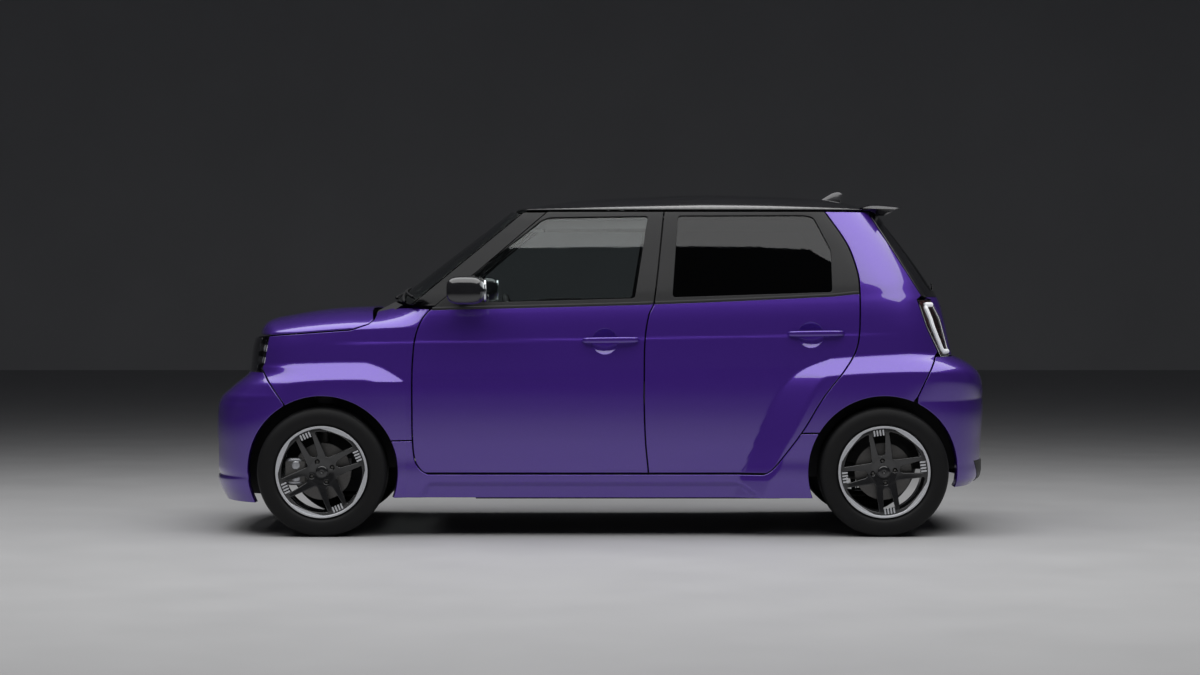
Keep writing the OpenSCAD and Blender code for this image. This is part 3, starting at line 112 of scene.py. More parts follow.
FENDER_EDGE = FENDER_TOP[:3] + [(0.0919, 0.6305), (0.0932, 0.652)] + FENDER_TOP[4:]
ROOF_CROWN = [
    (0.330, 0.950), (0.350, 0.955), (0.388, 0.967), (0.476, 0.985), (0.640, 0.998), (0.702, 1.000),
    (0.800, 0.996), (0.898, 0.986), (0.947, 0.975), (0.987, 0.955)]
BELT = [(0.194, 0.659), (0.591, 0.676), (0.904, 0.698), (0.948, 0.705)]
DOOR_FRONT = [
    (0.174, 0.195), (0.189, 0.178), (0.217, 0.166), (0.278, 0.161), (0.384, 0.160), (0.450, 0.160),
    (0.505, 0.161), (0.578, 0.166), (0.630, 0.178), (0.659, 0.194), (0.768, 0.275), (0.944, 0.401)]
DOOR_SPLIT = [
    (0.174, 0.581), (0.187, 0.581), (0.275, 0.576), (0.384, 0.5735), (0.450, 0.5735), (0.570, 0.575),
    (0.642, 0.582), (0.676, 0.591), (0.944, 0.610)]
DOOR_REAR = [
    (0.174, 0.775), (0.183, 0.790), (0.194, 0.800), (0.217, 0.813), (0.305, 0.854), (0.405, 0.892),
    (0.482, 0.929), (0.529, 0.948), (0.576, 0.956), (0.629, 0.958), (0.725, 0.958), (0.772, 0.954),
    (0.849, 0.937), (0.944, 0.898)]
FENDER_FRONT = [
    (0.278, 0.000), (0.385, -0.067), (0.486, -0.112), (0.497, -0.108), (0.578, -0.099), (0.665, -0.098)]
QUARTER_REAR = [
    (0.301, 1.000), (0.405, 1.059), (0.523, 1.095), (0.534, 1.101), (0.608, 1.079), (0.687, 1.063),
    (0.697, 1.072), (0.945, 0.979)]
LAMP_FRONT = [(0.518, 1.106), (0.534, 1.102), (0.608, 1.079), (0.687, 1.063)]
LAMP_REAR = [(0.518, 1.129), (0.534, 1.126), (0.629, 1.111), (0.681, 1.092), (0.687, 1.089)]
TAIL_EDGE = LAMP_REAR[:-1] + [(0.690, 1.090), (0.700, 1.070), (0.945, 0.979)]
PILLAR_FRONT = [(0.620, 0.150), (0.668, 0.156), (0.940, 0.357)]
BUMPER_SIDE = [(0.090, -0.060), (0.385, -0.067), (0.480, -0.110)]
REAR_BUMPER_SIDE = [(0.130, 1.050), (0.405, 1.059), (0.523, 1.095)]
FRONT_WINDOW = [
    (0.271, 0.763), (0.390, 0.917), (0.405, 0.926), (0.581, 0.930), (0.557, 0.690), (0.266, 0.677)]
REAR_WINDOW = [
    (0.635, 0.931), (0.862, 0.932), (0.878, 0.926), (0.908, 0.830), (0.909, 0.708), (0.624, 0.693)]
TAIL_WINDOW = [
    (-0.66, 0.712), (-0.64, 0.76), (-0.54, 0.90), (-0.50, 0.912), (0.50, 0.912), (0.54, 0.90),
    (0.64, 0.76), (0.66, 0.712)]
INTAKE = [(-0.52, 0.165), (-0.60, 0.205), (-0.56, 0.275), (0.56, 0.275), (0.60, 0.205), (0.52, 0.165)]
SPOILER = [
    (0, 0.9635), (0.06, 0.9672), (0.20, 0.972), (0.40, 0.9724), (0.60, 0.970), (0.80, 0.967),
    (0.94, 0.9645), (1.0, 0.9625), (0.985, 0.9595), (0.93, 0.9560), (0.75, 0.9460), (0.56, 0.9370),
    (0.36, 0.9363), (0.20, 0.9480), (0.10, 0.9495), (0.0, 0.9500)]
TYRE_SIDE = [
    (0.662, 0.78), (0.690, 0.81), (0.705, 0.825), (0.716, 0.86), (0.728, 0.87), (0.745, 0.93),
    (0.780, 0.975), (0.830, 1.00), (0.870, 0.99), (0.905, 0.965), (0.935, 0.925), (0.958, 0.885),
    (0.975, 0.83), (0.988, 0.76)]
TREAD = [
    (0.62, 1.0), (0.50, 1.0), (0.48, 0.976), (0.40, 0.976), (0.38, 1.0), (0.14, 1.0), (0.12, 0.976),
    (0.0, 0.976)]
DOOR_LOW = 0.183
DOOR_TOP = 0.944

# Outlines of turned wheel parts as pairs of radius and height
BARREL = [
    (179, -86), (206, -86.5), (206, -80), (199, -76), (193, -62), (193, 62), (199, 74), (205, 79),
    (206, 86), (203, 87.5), (198, 84), (187, 66), (181, 40), (179, 0)]
HUB = [
    (0.01, 70), (10, 70), (20, 69.8), (25, 68), (27.5, 64), (28, 58), (62, 54), (66, 40), (67, 12),
    (0.01, 12)]
RIM_LIP = [(195.0, 84.0), (198.0, 86.5), (205.6, 88.2), (206.4, 86.0), (206.2, 81.0), (196.5, 80.0)]
DISC = [
    (0.01, 30), (70, 30.5), (72, 27), (127, 27), (128.5, 25), (128.5, 21), (104, 20), (104, 17.5),
    (128.5, 17), (128.5, 13), (127, 11.5), (70, 11.5), (0.01, 12)]
NUT = [(0.01, 62), (5, 62), (7.5, 58), (7.5, 50), (0.01, 50)]

# Sheets over the car run from -ACROSS to ACROSS and from 0 to their run
ACROSS = 600.0
HOOD_RUN = 600.0
SCREEN_RUN = 600.0
ROOF_RUN = 1500.0
HOOD_FRONT = 0.582
HOOD_REAR = 0.078
HOOD_FRONT_BOW = 93.1
HOOD_REAR_BOW = 29.4
CURL_RISE = 1.8
CURL_WIDTH = 2.6
ROOF_FRONT = 0.338
ROOF_REAR = 0.966
ROOF_BOW = 63.7
CREASE_LEVEL = 881.0
CREASE_SLOPE = 0.0175
CREASE_DEPTH = 3.2


def xs(share):
    return FRONT_AXLE + np.asarray(share) * WHEELBASE


def zs(share):
    return np.asarray(share) * ROOF


def share_x(x):
    return (np.asarray(x, float) - FRONT_AXLE) / WHEELBASE


def share_z(z):
    return np.asarray(z, float) / ROOF


def look(t, table):
    """Straight lines through a table's rows"""
    a = np.array(table)
    return np.interp(t, a[:, 0], a[:, 1])


def curve(t, table):
    """Smooth curve through a table's rows"""
    a = np.array(table)
    n = len(a)
    before, after = np.maximum(np.arange(n) - 1, 0), np.minimum(np.arange(n) + 1, n - 1)
    slope = (a[after, 1] - a[before, 1]) / (a[after, 0] - a[before, 0])
    t = np.asarray(t, float)
    i = np.clip(np.searchsorted(a[:, 0], t, "right") - 1, 0, n - 2)
    h = a[i + 1, 0] - a[i, 0]
    u = np.clip((t - a[i, 0]) / h, 0, 1)
    ends = a[i, 1] * (1 + 2 * u) * (1 - u) ** 2 + a[i + 1, 1] * u * u * (3 - 2 * u)
    return ends + h * (slope[i] * u * (1 - u) ** 2 - slope[i + 1] * u * u * (1 - u))


def ramp(t, soft=0.14):
    """0 to 1 in a straight line with rounded ends"""
    t = np.asarray(t, float)
    low = np.where(t < -soft, 0, np.where(t < soft, (t + soft) ** 2 / (4 * soft), t))
    return np.where(t > 1 + soft, 1, np.where(t > 1 - soft, 1 - (1 + soft - t) ** 2 / (4 * soft), low))


def ease(t):
    t = np.clip(t, 0, 1)
    return t * t * (3 - 2 * t)


def pack(*parts):
    """Coordinates gathered into points"""
    return np.stack(np.broadcast_arrays(*parts), -1)


def blunt(value, p):
    """Sine or cosine drawn out by a power, which keeps its sign"""
    return np.sign(value) * np.abs(value) ** p


def angles(n):
    return np.linspace(0, 2 * math.pi, n + 1)[:-1]


def polar(radius, a):
    return pack(radius * np.cos(a), radius * np.sin(a))


def lower(a, b, soft=0.04):
    """Smaller of two shares with a soft change-over"""
    return (a + b - np.sqrt((a - b) ** 2 + soft * soft)) / 2


def at_shares(rows):
    x, z = np.array(rows).T
    return pack(xs(x), zs(z))


def line_x(table, z):
    return xs(curve(share_z(z), table))


def straight_x(table, z):
    return xs(look(share_z(z), table))


def straight_z(table, x):
    return zs(look(share_x(x), table))


def top_z(table, x):
    return zs(curve(share_x(x), table))


def belt_z(x):
    return top_z(BELT, x)


def crease(x, z):
    """Step of the character line below the windows"""
    level = CREASE_LEVEL + CREASE_SLOPE * x
    fade = ease((x + 1260) / 200) * ease((1420 - x) / 320)
    return CREASE_DEPTH * fade * ramp((z - level) / 12, 0.3) * ease((level + 130 - z) / 110)


def plain_half(x, z):
    """Half width of the skin with its flares, before the ends round it off"""
    x, z = np.asarray(x, float), np.asarray(z, float)
    up = np.clip((share_z(z) - 0.4) / 0.2, 0, 1)
    s = share_x(x)
    front = lower(np.sin(np.pi / 2 * np.clip((0.149 - s) / 0.074, 0, 1)),
                  ramp((top_z(FRONT_FLARE_TOP, x) - z) / FLARE_LEDGE))
    rear = lower(ramp((x - line_x(REAR_FLARE_EDGE, z)) / FLARE_RUN, 0.1),
                 ramp((top_z(REAR_FLARE_TOP, x) - z) / FLARE_LEDGE))
    return (HALF_WIDTH * curve(share_z(z - 0.03 * x * up), SECTION) - 30 * (x / HALF_LENGTH) ** 2
            + FLARE_DEPTH * np.where(x < 0, front, rear) - crease(x, z))


def nose_x(z):
    return FRONT_OVERHANG * curve(share_z(z), NOSE) - HALF_LENGTH


def tail_x(z):
    return HALF_LENGTH - REAR_OVERHANG * curve(share_z(z), TAIL)


def power(z):
    return 3 + np.clip((share_z(z) - 0.39) / 0.1, 0, 1)


def rounding(d, p):
    return (1 - np.clip(1 - d / CORNER, 0, 1) ** p) ** (1 / p)


def side_half(x, z):
    x = np.asarray(x, float)
    to_end = np.where(x < 0, x - nose_x(z), tail_x(z) - x)
    return plain_half(x, z) * rounding(to_end, power(z))


def body_half(x, z):
    """Half width of the skin, with the wings curling over into the hood"""
    x, z = np.asarray(x, float), np.asarray(z, float)
    e = straight_z(HOOD_EDGE, x)
    k = ease((0.19 - share_x(x)) / 0.09)
    rise = np.clip((z - e) / (top_z(HOOD_CROWN, x) - e), 0, 1)
    plain = side_half(x, z)
    curl = side_half(x, e) * (1 - rise ** CURL_RISE) ** (1 / CURL_WIDTH)
    return np.where((z <= e) | (share_z(z) > 0.68), plain, plain + (curl - plain) * k)


# Places on the skin from two numbers in millimetres
def on_side(u, v, out=0.0):
    return pack(u, -(body_half(u, v) + out), v)


def side_at(depth):
    return lambda u, v: on_side(u, v, -depth)


ARC_ANGLE = np.linspace(0, np.pi / 2, 400)


def arc_lengths():
    """Lengths round a corner of the car in plan, at the angles above"""
    p = 3.5
    c = pack(CORNER * np.cos(ARC_ANGLE) ** (2 / p), 740 * np.sin(ARC_ANGLE) ** (2 / p))
    return np.concatenate([[0], np.cumsum(np.linalg.norm(np.diff(c, axis=0), axis=1))])


ARC = arc_lengths()


def arc_of(d, z):
    """Length round an end from its middle to a place d behind it"""
    angle = np.arccos(np.clip(1 - d / CORNER, 0, 1) ** (power(z) / 2))
    return np.interp(angle, ARC_ANGLE, ARC)


def on_end(u, v, end_x, way, depth):
    """Nose or tail, from the length round it and the height"""
    p = power(v)
    a = np.interp(np.abs(u), ARC, ARC_ANGLE)
    x = end_x(v) - way * (CORNER - (CORNER - depth) * np.cos(a) ** (2 / p))
    return pack(x, np.sign(u) * (plain_half(x, v) - depth) * np.sin(a) ** (2 / p), v)


def front_at(depth):
    return lambda u, v: on_end(u, v, nose_x, -1, depth)


def rear_at(depth):
    return lambda u, v: on_end(u, v, tail_x, 1, depth)


on_front = front_at(0.0)
on_rear = rear_at(0.0)


def hood_reach(x):
    """Share of the half width at which the hood meets the wing"""
    e, c = straight_z(HOOD_EDGE, x), top_z(HOOD_CROWN, x)
    rise = np.clip((straight_z(FENDER_TOP, x) - e) / (c - e), 0, 1)
    return (1 - rise ** CURL_RISE) ** (1 / CURL_WIDTH)


def hood_rear(s):
    return xs(HOOD_REAR) + HOOD_REAR_BOW * s * s


def on_hood(u, v):
    """Hood with a rounded leading edge"""
    q, w = np.clip(u / ACROSS, -1, 1), np.clip(v / HOOD_RUN, 0, 1)
    s = q * (1.5 - 0.5 * np.abs(q))
    t = w * (0.5 + 0.5 * w)
    front = nose_x(zs(HOOD_FRONT)) + HALF_GAP + HOOD_FRONT_BOW * np.abs(s) ** 4
    x = front + (hood_rear(s) - front) * t
    e = straight_z(HOOD_EDGE, x) + HALF_GAP
    c = np.maximum(e + HALF_GAP, top_z(HOOD_CROWN, x))
    k = s * hood_reach(x)
    crown = np.clip(1 - np.abs(k) ** CURL_WIDTH, 0, 1) ** (1 / CURL_RISE)
    lead = (1 - np.clip(1 - t / 0.11, 0, 1) ** 2.4) ** (1 / 2.4)
    return pack(x, k * side_half(x, e), e + (c - e) * crown * lead)


def on_roof(u, v):
    q, t = np.clip(u / ACROSS, -1, 1), v / ROOF_RUN
    s = q * (1.6 - 0.6 * np.abs(q))
    front = xs(ROOF_FRONT) + ROOF_BOW * s * s
    x = front + (xs(ROOF_REAR) - front) * t
    e = np.full_like(x, zs(DOOR_TOP) + GAP)
    c = np.maximum(e + GAP, top_z(ROOF_CROWN, x))
    return pack(x, s * side_half(x, e), e + (c - e) * (1 - np.abs(s) ** 2.6) ** (1 / 1.6))


def on_screen(u, v, drop=0.0):
    """Windscreen, bowed across and set in from the pillars"""
    s, t = u / ACROSS, v / SCREEN_RUN
    z_edge = zs(0.672 + 0.264 * t)
    x_edge = straight_x(PILLAR_FRONT, z_edge) - HALF_GAP - 2.5
    x_mid = xs(0.118 + 0.211 * t)
    half = side_half(x_edge, z_edge) - 12
    x = x_mid + (x_edge - x_mid) * np.abs(s) ** 2.2
    z = zs(0.684 + 0.263 * t)
    return pack(x + drop, s * half, z + (z_edge - z) * s * s - drop / 2)


# Outlines in two numbers
def between(a, b, step):
    a, b = np.asarray(a, float), np.asarray(b, float)
    n = max(2, int(np.ceil(np.linalg.norm(b - a) / step)) + 1)
    return a + (b - a) * np.linspace(0, 1, n)[:, None]


def joined(*runs):
    """One closed loop from runs of points, without repeated points"""
    points = np.concatenate(runs)
    keep = np.linalg.norm(points - np.roll(points, 1, axis=0), axis=1) > 0.4
    return points[keep]


def spaced(loop, step):
    """The same closed loop with points at most a step apart"""
    runs = [between(a, b, step)[:-1] for a, b in zip(loop, np.roll(loop, -1, axis=0))]
    return np.concatenate(runs)


def rounded(corners, radius, step=6.0):
    """Polygon with rounded corners"""
    corners = np.asarray(corners, float)
    runs = []
    for a, b, c in zip(np.roll(corners, 1, axis=0), corners, np.roll(corners, -1, axis=0)):
        r = min(radius, 0.45 * np.linalg.norm(a - b), 0.45 * np.linalg.norm(c - b))
        p = b + (a - b) / np.linalg.norm(a - b) * r
        q = b + (c - b) / np.linalg.norm(c - b) * r
        t = np.linspace(0, 1, 7)[:, None]
        runs.append((1 - t) ** 2 * p + 2 * t * (1 - t) * b + t * t * q)
    return spaced(joined(*runs), step)


def oval(x, y, a, b, n):
    return np.array([x, y]) + [a, b] * polar(1.0, angles(n))


def grown(loop, share):
    """Loop scaled about its middle"""
    middle = loop.mean(0)
    return middle + (loop - middle) * share


def cut_circle(loop, axle, radius):
    """Takes a wheel arch out of a loop"""
    centre = np.array([axle, TYRE])
    outside = np.linalg.norm(loop - centre, axis=1) > radius
    if outside.all():
        return loop
    start = next(i for i in range(len(loop)) if outside[i - 1] and not outside[i])
    loop, outside = np.roll(loop, -start, axis=0), np.roll(outside, -start)
    stop = int(np.argmax(outside))
    bearings = [math.atan2(y, x) for x, y in (loop[-1] - centre, loop[stop] - centre)]
    first, last = [a + 2 * math.pi if a < -math.pi / 2 else a for a in bearings]
    a = np.linspace(first, last, max(3, int(abs(last - first) * radius / 10)))
    return joined(loop[stop:], centre + polar(radius, a))


def area(loop):
    x, y = loop.T
    return 0.5 * np.sum(x * np.roll(y, -1) - y * np.roll(x, -1))


def turned(loop, wanted):
    return loop if area(loop) * wanted > 0 else loop[::-1]


def inside(points, loop):
    a, b = loop, np.roll(loop, -1, axis=0)
    found = np.zeros(len(points), bool)
    for (x0, y0), (x1, y1) in zip(a, b):
        if y0 != y1:
            cross = (points[:, 1] < y0) != (points[:, 1] < y1)
            found ^= cross & (points[:, 0] < x0 + (points[:, 1] - y0) / (y1 - y0) * (x1 - x0))
    return found


def far_from(points, loop, distance):
    keep = np.ones(len(points), bool)
    for a, b in zip(loop, np.roll(loop, -1, axis=0)):
        d = b - a
        t = np.clip(((points - a) @ d) / max(d @ d, 1e-9), 0, 1)
        keep &= np.linalg.norm(points - a - t[:, None] * d, axis=1) > distance
    return keep


def triangles(loops, spacing):
    """Points and triangles inside the first loop and outside the others, the loops' points first"""
    low, high = loops[0].min(0), loops[0].max(0)
    gx, gy = np.arange(low[0], high[0], spacing), np.arange(low[1], high[1], spacing * 0.87)
    grid = np.array([(x + (j % 2) * spacing / 2, y) for j, y in enumerate(gy) for x in gx])
    grid = grid[inside(grid, loops[0])]
    for loop in loops[1:]:
        grid = grid[~inside(grid, loop)]
    for loop in loops:
        grid = grid[far_from(grid, loop, spacing * 0.5)]
    edges, count = [], 0
    for loop in loops:
        n = len(loop)
        edges += [(count + i, count + (i + 1) % n) for i in range(n)]
        count += n
    points = np.concatenate([*loops, grid])
    found, _, faces, origin, _, _ = delaunay_2d_cdt([Vector(p) for p in points], edges, [], 1, 1e-5)
    place = [o[0] if o else -1 for o in origin]
    extra = [i for i, p in enumerate(place) if p < 0]
    for i in extra:
        place[i] = len(points)
        points = np.concatenate([points, [found[i][:]]])
    faces = np.array([[place[i] for i in f] for f in faces if len(f) == 3])
    middle = points[faces].mean(1)
    keep = inside(middle, loops[0])
    for loop in loops[1:]:
        keep &= ~inside(middle, loop)
    faces = faces[keep]
    a, b, c = points[faces[:, 0]], points[faces[:, 1]], points[faces[:, 2]]
    flip = (b - a)[:, 0] * (c - a)[:, 1] - (b - a)[:, 1] * (c - a)[:, 0] < 0
    faces[flip] = faces[flip][:, ::-1]
    return points, faces


class Shape:
    """Points, normals and faces of one piece, gathered before its mesh is made"""

    def __init__(self):
        self.points, self.normals, self.faces, self.slots = [], [], [], []
        self.count = 0

    def add(self, points, normals, faces, slot=0):
        self.points.append(np.asarray(points, float).reshape(-1, 3))
        self.normals.append(np.asarray(normals, float).reshape(-1, 3))
        self.faces += [[int(i) + self.count for i in f] for f in faces]
        self.slots += [slot] * len(faces)
        self.count += len(self.points[-1])
        return self

    def join(self, other):
        self.points += other.points
        self.normals += other.normals
        self.faces += [[i + self.count for i in f] for f in other.faces]
        self.slots += other.slots
        self.count += other.count
        return self

    def moved(self, matrix):
        """Copy under a 4 by 4 matrix. A mirroring matrix turns the faces round."""
        m = np.array(matrix)
        out = Shape()
        turn = np.linalg.inv(m[:3, :3]).T
        flip = np.linalg.det(m[:3, :3]) < 0
        out.points = [p @ m[:3, :3].T + m[:3, 3] for p in self.points]
        out.normals = [n @ turn.T for n in self.normals]
        out.faces = [f[::-1] for f in self.faces] if flip else list(self.faces)
        out.slots, out.count = list(self.slots), self.count
        return out


MIRROR = np.diag([1.0, -1.0, 1.0, 1.0])


def make(name, shape, materials, body, replaces=(), slot=None):
    """Mesh object that rides on a body and may stand in for nodes of the solid model"""
    mesh = bpy.data.meshes.new(name)
    mesh.from_pydata((np.concatenate(shape.points) / 1000).tolist(), [], shape.faces)
    for m in materials:
        mesh.materials.append(m)
    mesh.polygons.foreach_set("material_index", shape.slots)
    mesh.polygons.foreach_set("use_smooth", [True] * len(mesh.polygons))
    mesh.normals_split_custom_set_from_vertices(unit(np.concatenate(shape.normals)).tolist())
    mesh.update()
    obj = bpy.data.objects.new(name, mesh)
    bpy.context.scene.collection.objects.link(obj)
    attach(obj, body)
    if replaces:
        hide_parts(*replaces)
    return obj


def make_both(name, shape, materials, body, replaces=(), slot=None):
    """Left piece and its mirror image. {} in a name stands for the side."""
    for side, piece in (("left", shape), ("right", shape.moved(MIRROR))):
        nodes = [r.format(side) for r in replaces]
        make(name.format(side), piece, materials, body.format(side), nodes, slot)


def unit(v):
    return v / np.maximum(np.linalg.norm(v, axis=-1, keepdims=True), 1e-9)


def frame_on(place, points, outward):
    """Place, its two slopes and the outward normal at each point"""
    u, v = points.T
    h = 0.4
    pu = (place(u + h, v) - place(u - h, v)) / (2 * h)
    pv = (place(u, v + h) - place(u, v - h)) / (2 * h)
    n = unit(np.cross(pu, pv))
    way = 1.0 if np.mean(n @ np.asarray(outward, float)) > 0 else -1.0
    return place(u, v), pu, pv, n * way, way


def panel(place, loops, outward, spacing, depth, roll, inset=0.0):
    """Closed sheet on the skin with rolled edges. Its front has material 0, its back material 1."""
    loops = [turned(loops[0], 1)] + [turned(hole, -1) for hole in loops[1:]]
    points, faces = triangles(loops, spacing)
    p, pu, pv, n, way = frame_on(place, points, outward)
    shape = Shape()
    skin = p.copy()
    rows, start = [], 0
    inner_loops = []
    for loop in loops:
        m = len(loop)
        i = np.arange(start, start + m)
        step = np.roll(loop, -1, axis=0) - np.roll(loop, 1, axis=0)
        out = unit(pack(step[:, 1], -step[:, 0]))
        run = unit(np.roll(p[i], -1, axis=0) - np.roll(p[i], 1, axis=0))
        d = unit(pu[i] * out[:, :1] + pv[i] * out[:, 1:])
        d = unit(d - run * np.sum(d * run, axis=1, keepdims=True))
        skin[i] = p[i] - d * roll
        rows.append((i, d))
        inner_loops.append(loop - out * inset)
        start += m
    shape.add(skin, n, faces if way > 0 else faces[:, ::-1])
    back_points, back_faces = triangles(inner_loops, spacing * 1.6)
    bp, _, _, bn, _ = frame_on(place, back_points, outward)
    back_start = shape.count
    shape.add(bp - bn * depth, -bn, back_faces[:, ::-1] if way > 0 else back_faces, 1)
    begin = 0
    for i, d in rows:
        m = len(i)
        ring = [i]
        for a in np.radians([35, 65, 90]):
            q = p[i] - d * roll * (1 - np.sin(a)) - n[i] * roll * (1 - np.cos(a))
            ring.append(np.arange(shape.count, shape.count + m))
            shape.add(q, n[i] * np.cos(a) + d * np.sin(a), [])
        ring.append(back_start + np.arange(begin, begin + m))
        nxt = np.roll(np.arange(m), -1)
        for a, b in zip(ring, ring[1:]):
            quads = pack(a, b, b[nxt], a[nxt])
            shape.faces += (quads if way > 0 else quads[:, ::-1]).tolist()
            shape.slots += [0] * m
        begin += m
    return shape


def lathe(profile, turns):
    """Solid of revolution about the local Z axis from radius and height pairs"""
    r = np.asarray(profile, float)
    t = np.roll(r, -1, axis=0) - np.roll(r, 1, axis=0)
    normal = unit(pack(t[:, 1], -t[:, 0]))
    if area(r) < 0:
        normal = -normal
    a = angles(turns)[:, None]
    p = pack(np.cos(a) * r[:, 0], np.sin(a) * r[:, 0], r[:, 1])
    n = pack(np.cos(a) * normal[:, 0], np.sin(a) * normal[:, 0], normal[:, 1])
    m = len(r)
    i, j = np.meshgrid(np.arange(turns), np.arange(m), indexing="ij")
    i2, j2 = (i + 1) % turns, (j + 1) % m
    quads = pack(i * m + j, i2 * m + j, i2 * m + j2, i * m + j2).reshape(-1, 4)
    if area(r) < 0:
        quads = quads[:, ::-1]
    return Shape().add(p, n, quads)


def sharp(shape):
    """Copy with a point per face corner, so that flat faces stay crisp"""
    p = np.concatenate(shape.points)
    out = Shape()
    for face, slot in zip(shape.faces, shape.slots):
        q = p[face]
        n = unit(sum(np.cross(a - q[0], b - q[0]) for a, b in zip(q[1:], q[2:])))
        out.add(q, [n] * len(q), [range(len(q))], slot)
    return out


def strips(rows, m):
    """Faces between rows of m points, each row closed"""
    return [[i * m + j, i * m + (j + 1) % m, (i + 1) * m + (j + 1) % m, (i + 1) * m + j]
            for i in range(rows - 1) for j in range(m)]


def loft(sections, cap=True):
    """Skin over closed sections with the same number of points"""
    s = np.asarray(sections, float)
    rows, m = s.shape[:2]
    faces = strips(rows, m)
    if cap:
        faces.append(list(range(m))[::-1])
        faces.append([(rows - 1) * m + j for j in range(m)])
    du = np.gradient(s, axis=0)
    dv = np.roll(s, -1, axis=1) - np.roll(s, 1, axis=1)
    n = unit(np.cross(dv, du))
    middle = s.mean(axis=1, keepdims=True)
    if np.mean(np.sum(n * (s - middle), -1)) < 0:
        n = -n
        faces = [f[::-1] for f in faces]
    return Shape().add(s, n, faces)


def tube(path, radius, sides):
    """Round bar along a path"""
    path = np.asarray(path, float)
    t = unit(np.gradient(path, axis=0))
    side = unit(np.cross(t, [0.13, 0.21, 0.97]))
    up = np.cross(side, t)
    a = angles(sides)[:, None]
    r = np.broadcast_to(np.asarray(radius, float), (len(path),))[:, None, None]
    ring = np.cos(a) * side[:, None] + np.sin(a) * up[:, None]
    return loft(path[:, None] + ring * r)


# Materials
def put(node, values):
    for name, value in values.items():
        node.inputs[name].default_value = value


def material(name, color, rough=0.5, metal=0.0, coat=0.0, vary=0.12, grain=40.0, bump=0.0, glow=0.0):
    """Plain surface with a fine grain in its colour and roughness"""
    m = bpy.data.materials.new(name)
    m.use_nodes = True
    nodes, links = m.node_tree.nodes, m.node_tree.links
    bsdf = nodes["Principled BSDF"]
    where = nodes.new("ShaderNodeTexCoord")
    noise = nodes.new("ShaderNodeTexNoise")
    put(noise, {"Scale": grain, "Detail": 4.0})
    links.new(where.outputs["Object"], noise.inputs["Vector"])
    tint = nodes.new("ShaderNodeValToRGB")
    for stop, place, change in zip(tint.color_ramp.elements, (0.3, 0.7), (1 - vary, 1 + vary)):
        stop.position = place
        stop.color = (*[min(1, c * change) for c in color], 1)
    links.new(noise.outputs["Fac"], tint.inputs["Fac"])
    links.new(tint.outputs["Color"], bsdf.inputs["Base Color"])
    put(bsdf, {"Roughness": rough, "Metallic": metal, "Coat Weight": coat, "Coat Roughness": 0.04})
    if rough:
        rough_range = nodes.new("ShaderNodeMapRange")
        put(rough_range, {"To Min": rough * 0.9, "To Max": min(1.0, rough * 1.1)})
        links.new(noise.outputs["Fac"], rough_range.inputs["Value"])
        links.new(rough_range.outputs["Result"], bsdf.inputs["Roughness"])
    if glow:
        put(bsdf, {"Emission Color": (*color, 1), "Emission Strength": glow})
    if bump:
        relief = nodes.new("ShaderNodeBump")
        put(relief, {"Strength": bump, "Distance": 0.001})
        links.new(noise.outputs["Fac"], relief.inputs["Height"])
        links.new(relief.outputs["Normal"], bsdf.inputs["Normal"])
    return m


def pearl(name, dark, bright):
    """Paint with fine metal flakes under a clear coat"""
    m = material(name, dark, 0.34, 0.55, 1.0, 0.04, 60.0)
    nodes, links = m.node_tree.nodes, m.node_tree.links
    bsdf = nodes["Principled BSDF"]
    flakes = nodes.new("ShaderNodeTexVoronoi")
    put(flakes, {"Scale": 900.0})
    mix = nodes.new("ShaderNodeMix")
    mix.data_type = "RGBA"
    mix.inputs["A"].default_value = (*dark, 1)
    mix.inputs["B"].default_value = (*bright, 1)
    links.new(nodes["Texture Coordinate"].outputs["Object"], flakes.inputs["Vector"])
    links.new(flakes.outputs["Distance"], mix.inputs["Factor"])
    links.new(mix.outputs["Result"], bsdf.inputs["Base Color"])
    put(bsdf, {"Coat Roughness": 0.02, "Coat IOR": 1.75})
    return m


def clear(name, color):
    """Glass with a faint tint"""
    m = material(name, color, 0.0, 0.0, 0.0, 0.02, 3.0)
    put(m.node_tree.nodes["Principled BSDF"], {"Transmission Weight": 1.0, "IOR": 1.45})
    return m


PAINT = pearl("violet_pearl", (0.052, 0.011, 0.270), (0.105, 0.028, 0.430))
BLACK = material("gloss_black", (0.012, 0.012, 0.014), 0.18, 0.0, 1.0)
SATIN = material("satin_black", (0.008, 0.008, 0.009), 0.45)
TRIM = material("trim_black", (0.018, 0.018, 0.020), 0.62, bump=0.25, grain=900.0)
LINING = material("lining_grey", (0.020, 0.020, 0.022), 0.8, bump=0.3, grain=700.0)
FABRIC = material("seat_fabric", (0.045, 0.045, 0.052), 0.92, bump=0.6, grain=1200.0)
RUBBER = material("tyre_rubber", (0.007, 0.007, 0.0075), 0.55, bump=0.15, grain=300.0)
put(RUBBER.node_tree.nodes["Principled BSDF"], {"Specular IOR Level": 0.25})
ALLOY = material("wheel_black", (0.010, 0.010, 0.011), 0.25, 0.0, 1.0)
CUT_ALLOY = material("cut_alloy", (0.62, 0.63, 0.66), 0.4, 0.35, vary=0.04, grain=120.0)
STEEL = material("disc_steel", (0.16, 0.155, 0.15), 0.42, 0.8, grain=160.0)
CAST = material("cast_silver", (0.60, 0.61, 0.64), 0.38, 0.8)
UNDER = material("under_steel", (0.05, 0.052, 0.056), 0.6, 0.3)
CLEAR = clear("clear_glass", (0.80, 0.86, 0.85))
PRIVACY = clear("privacy_glass", (0.05, 0.055, 0.06))
SMOKED = clear("smoked_lens", (0.30, 0.30, 0.32))
LENS = clear("clear_lens", (0.93, 0.94, 0.95))
SILVER = material("lamp_silver", (0.78, 0.79, 0.82), 0.15, 1.0)
LAMP_WHITE = material("lamp_white", (0.85, 0.87, 0.90), 0.3, glow=0.25)
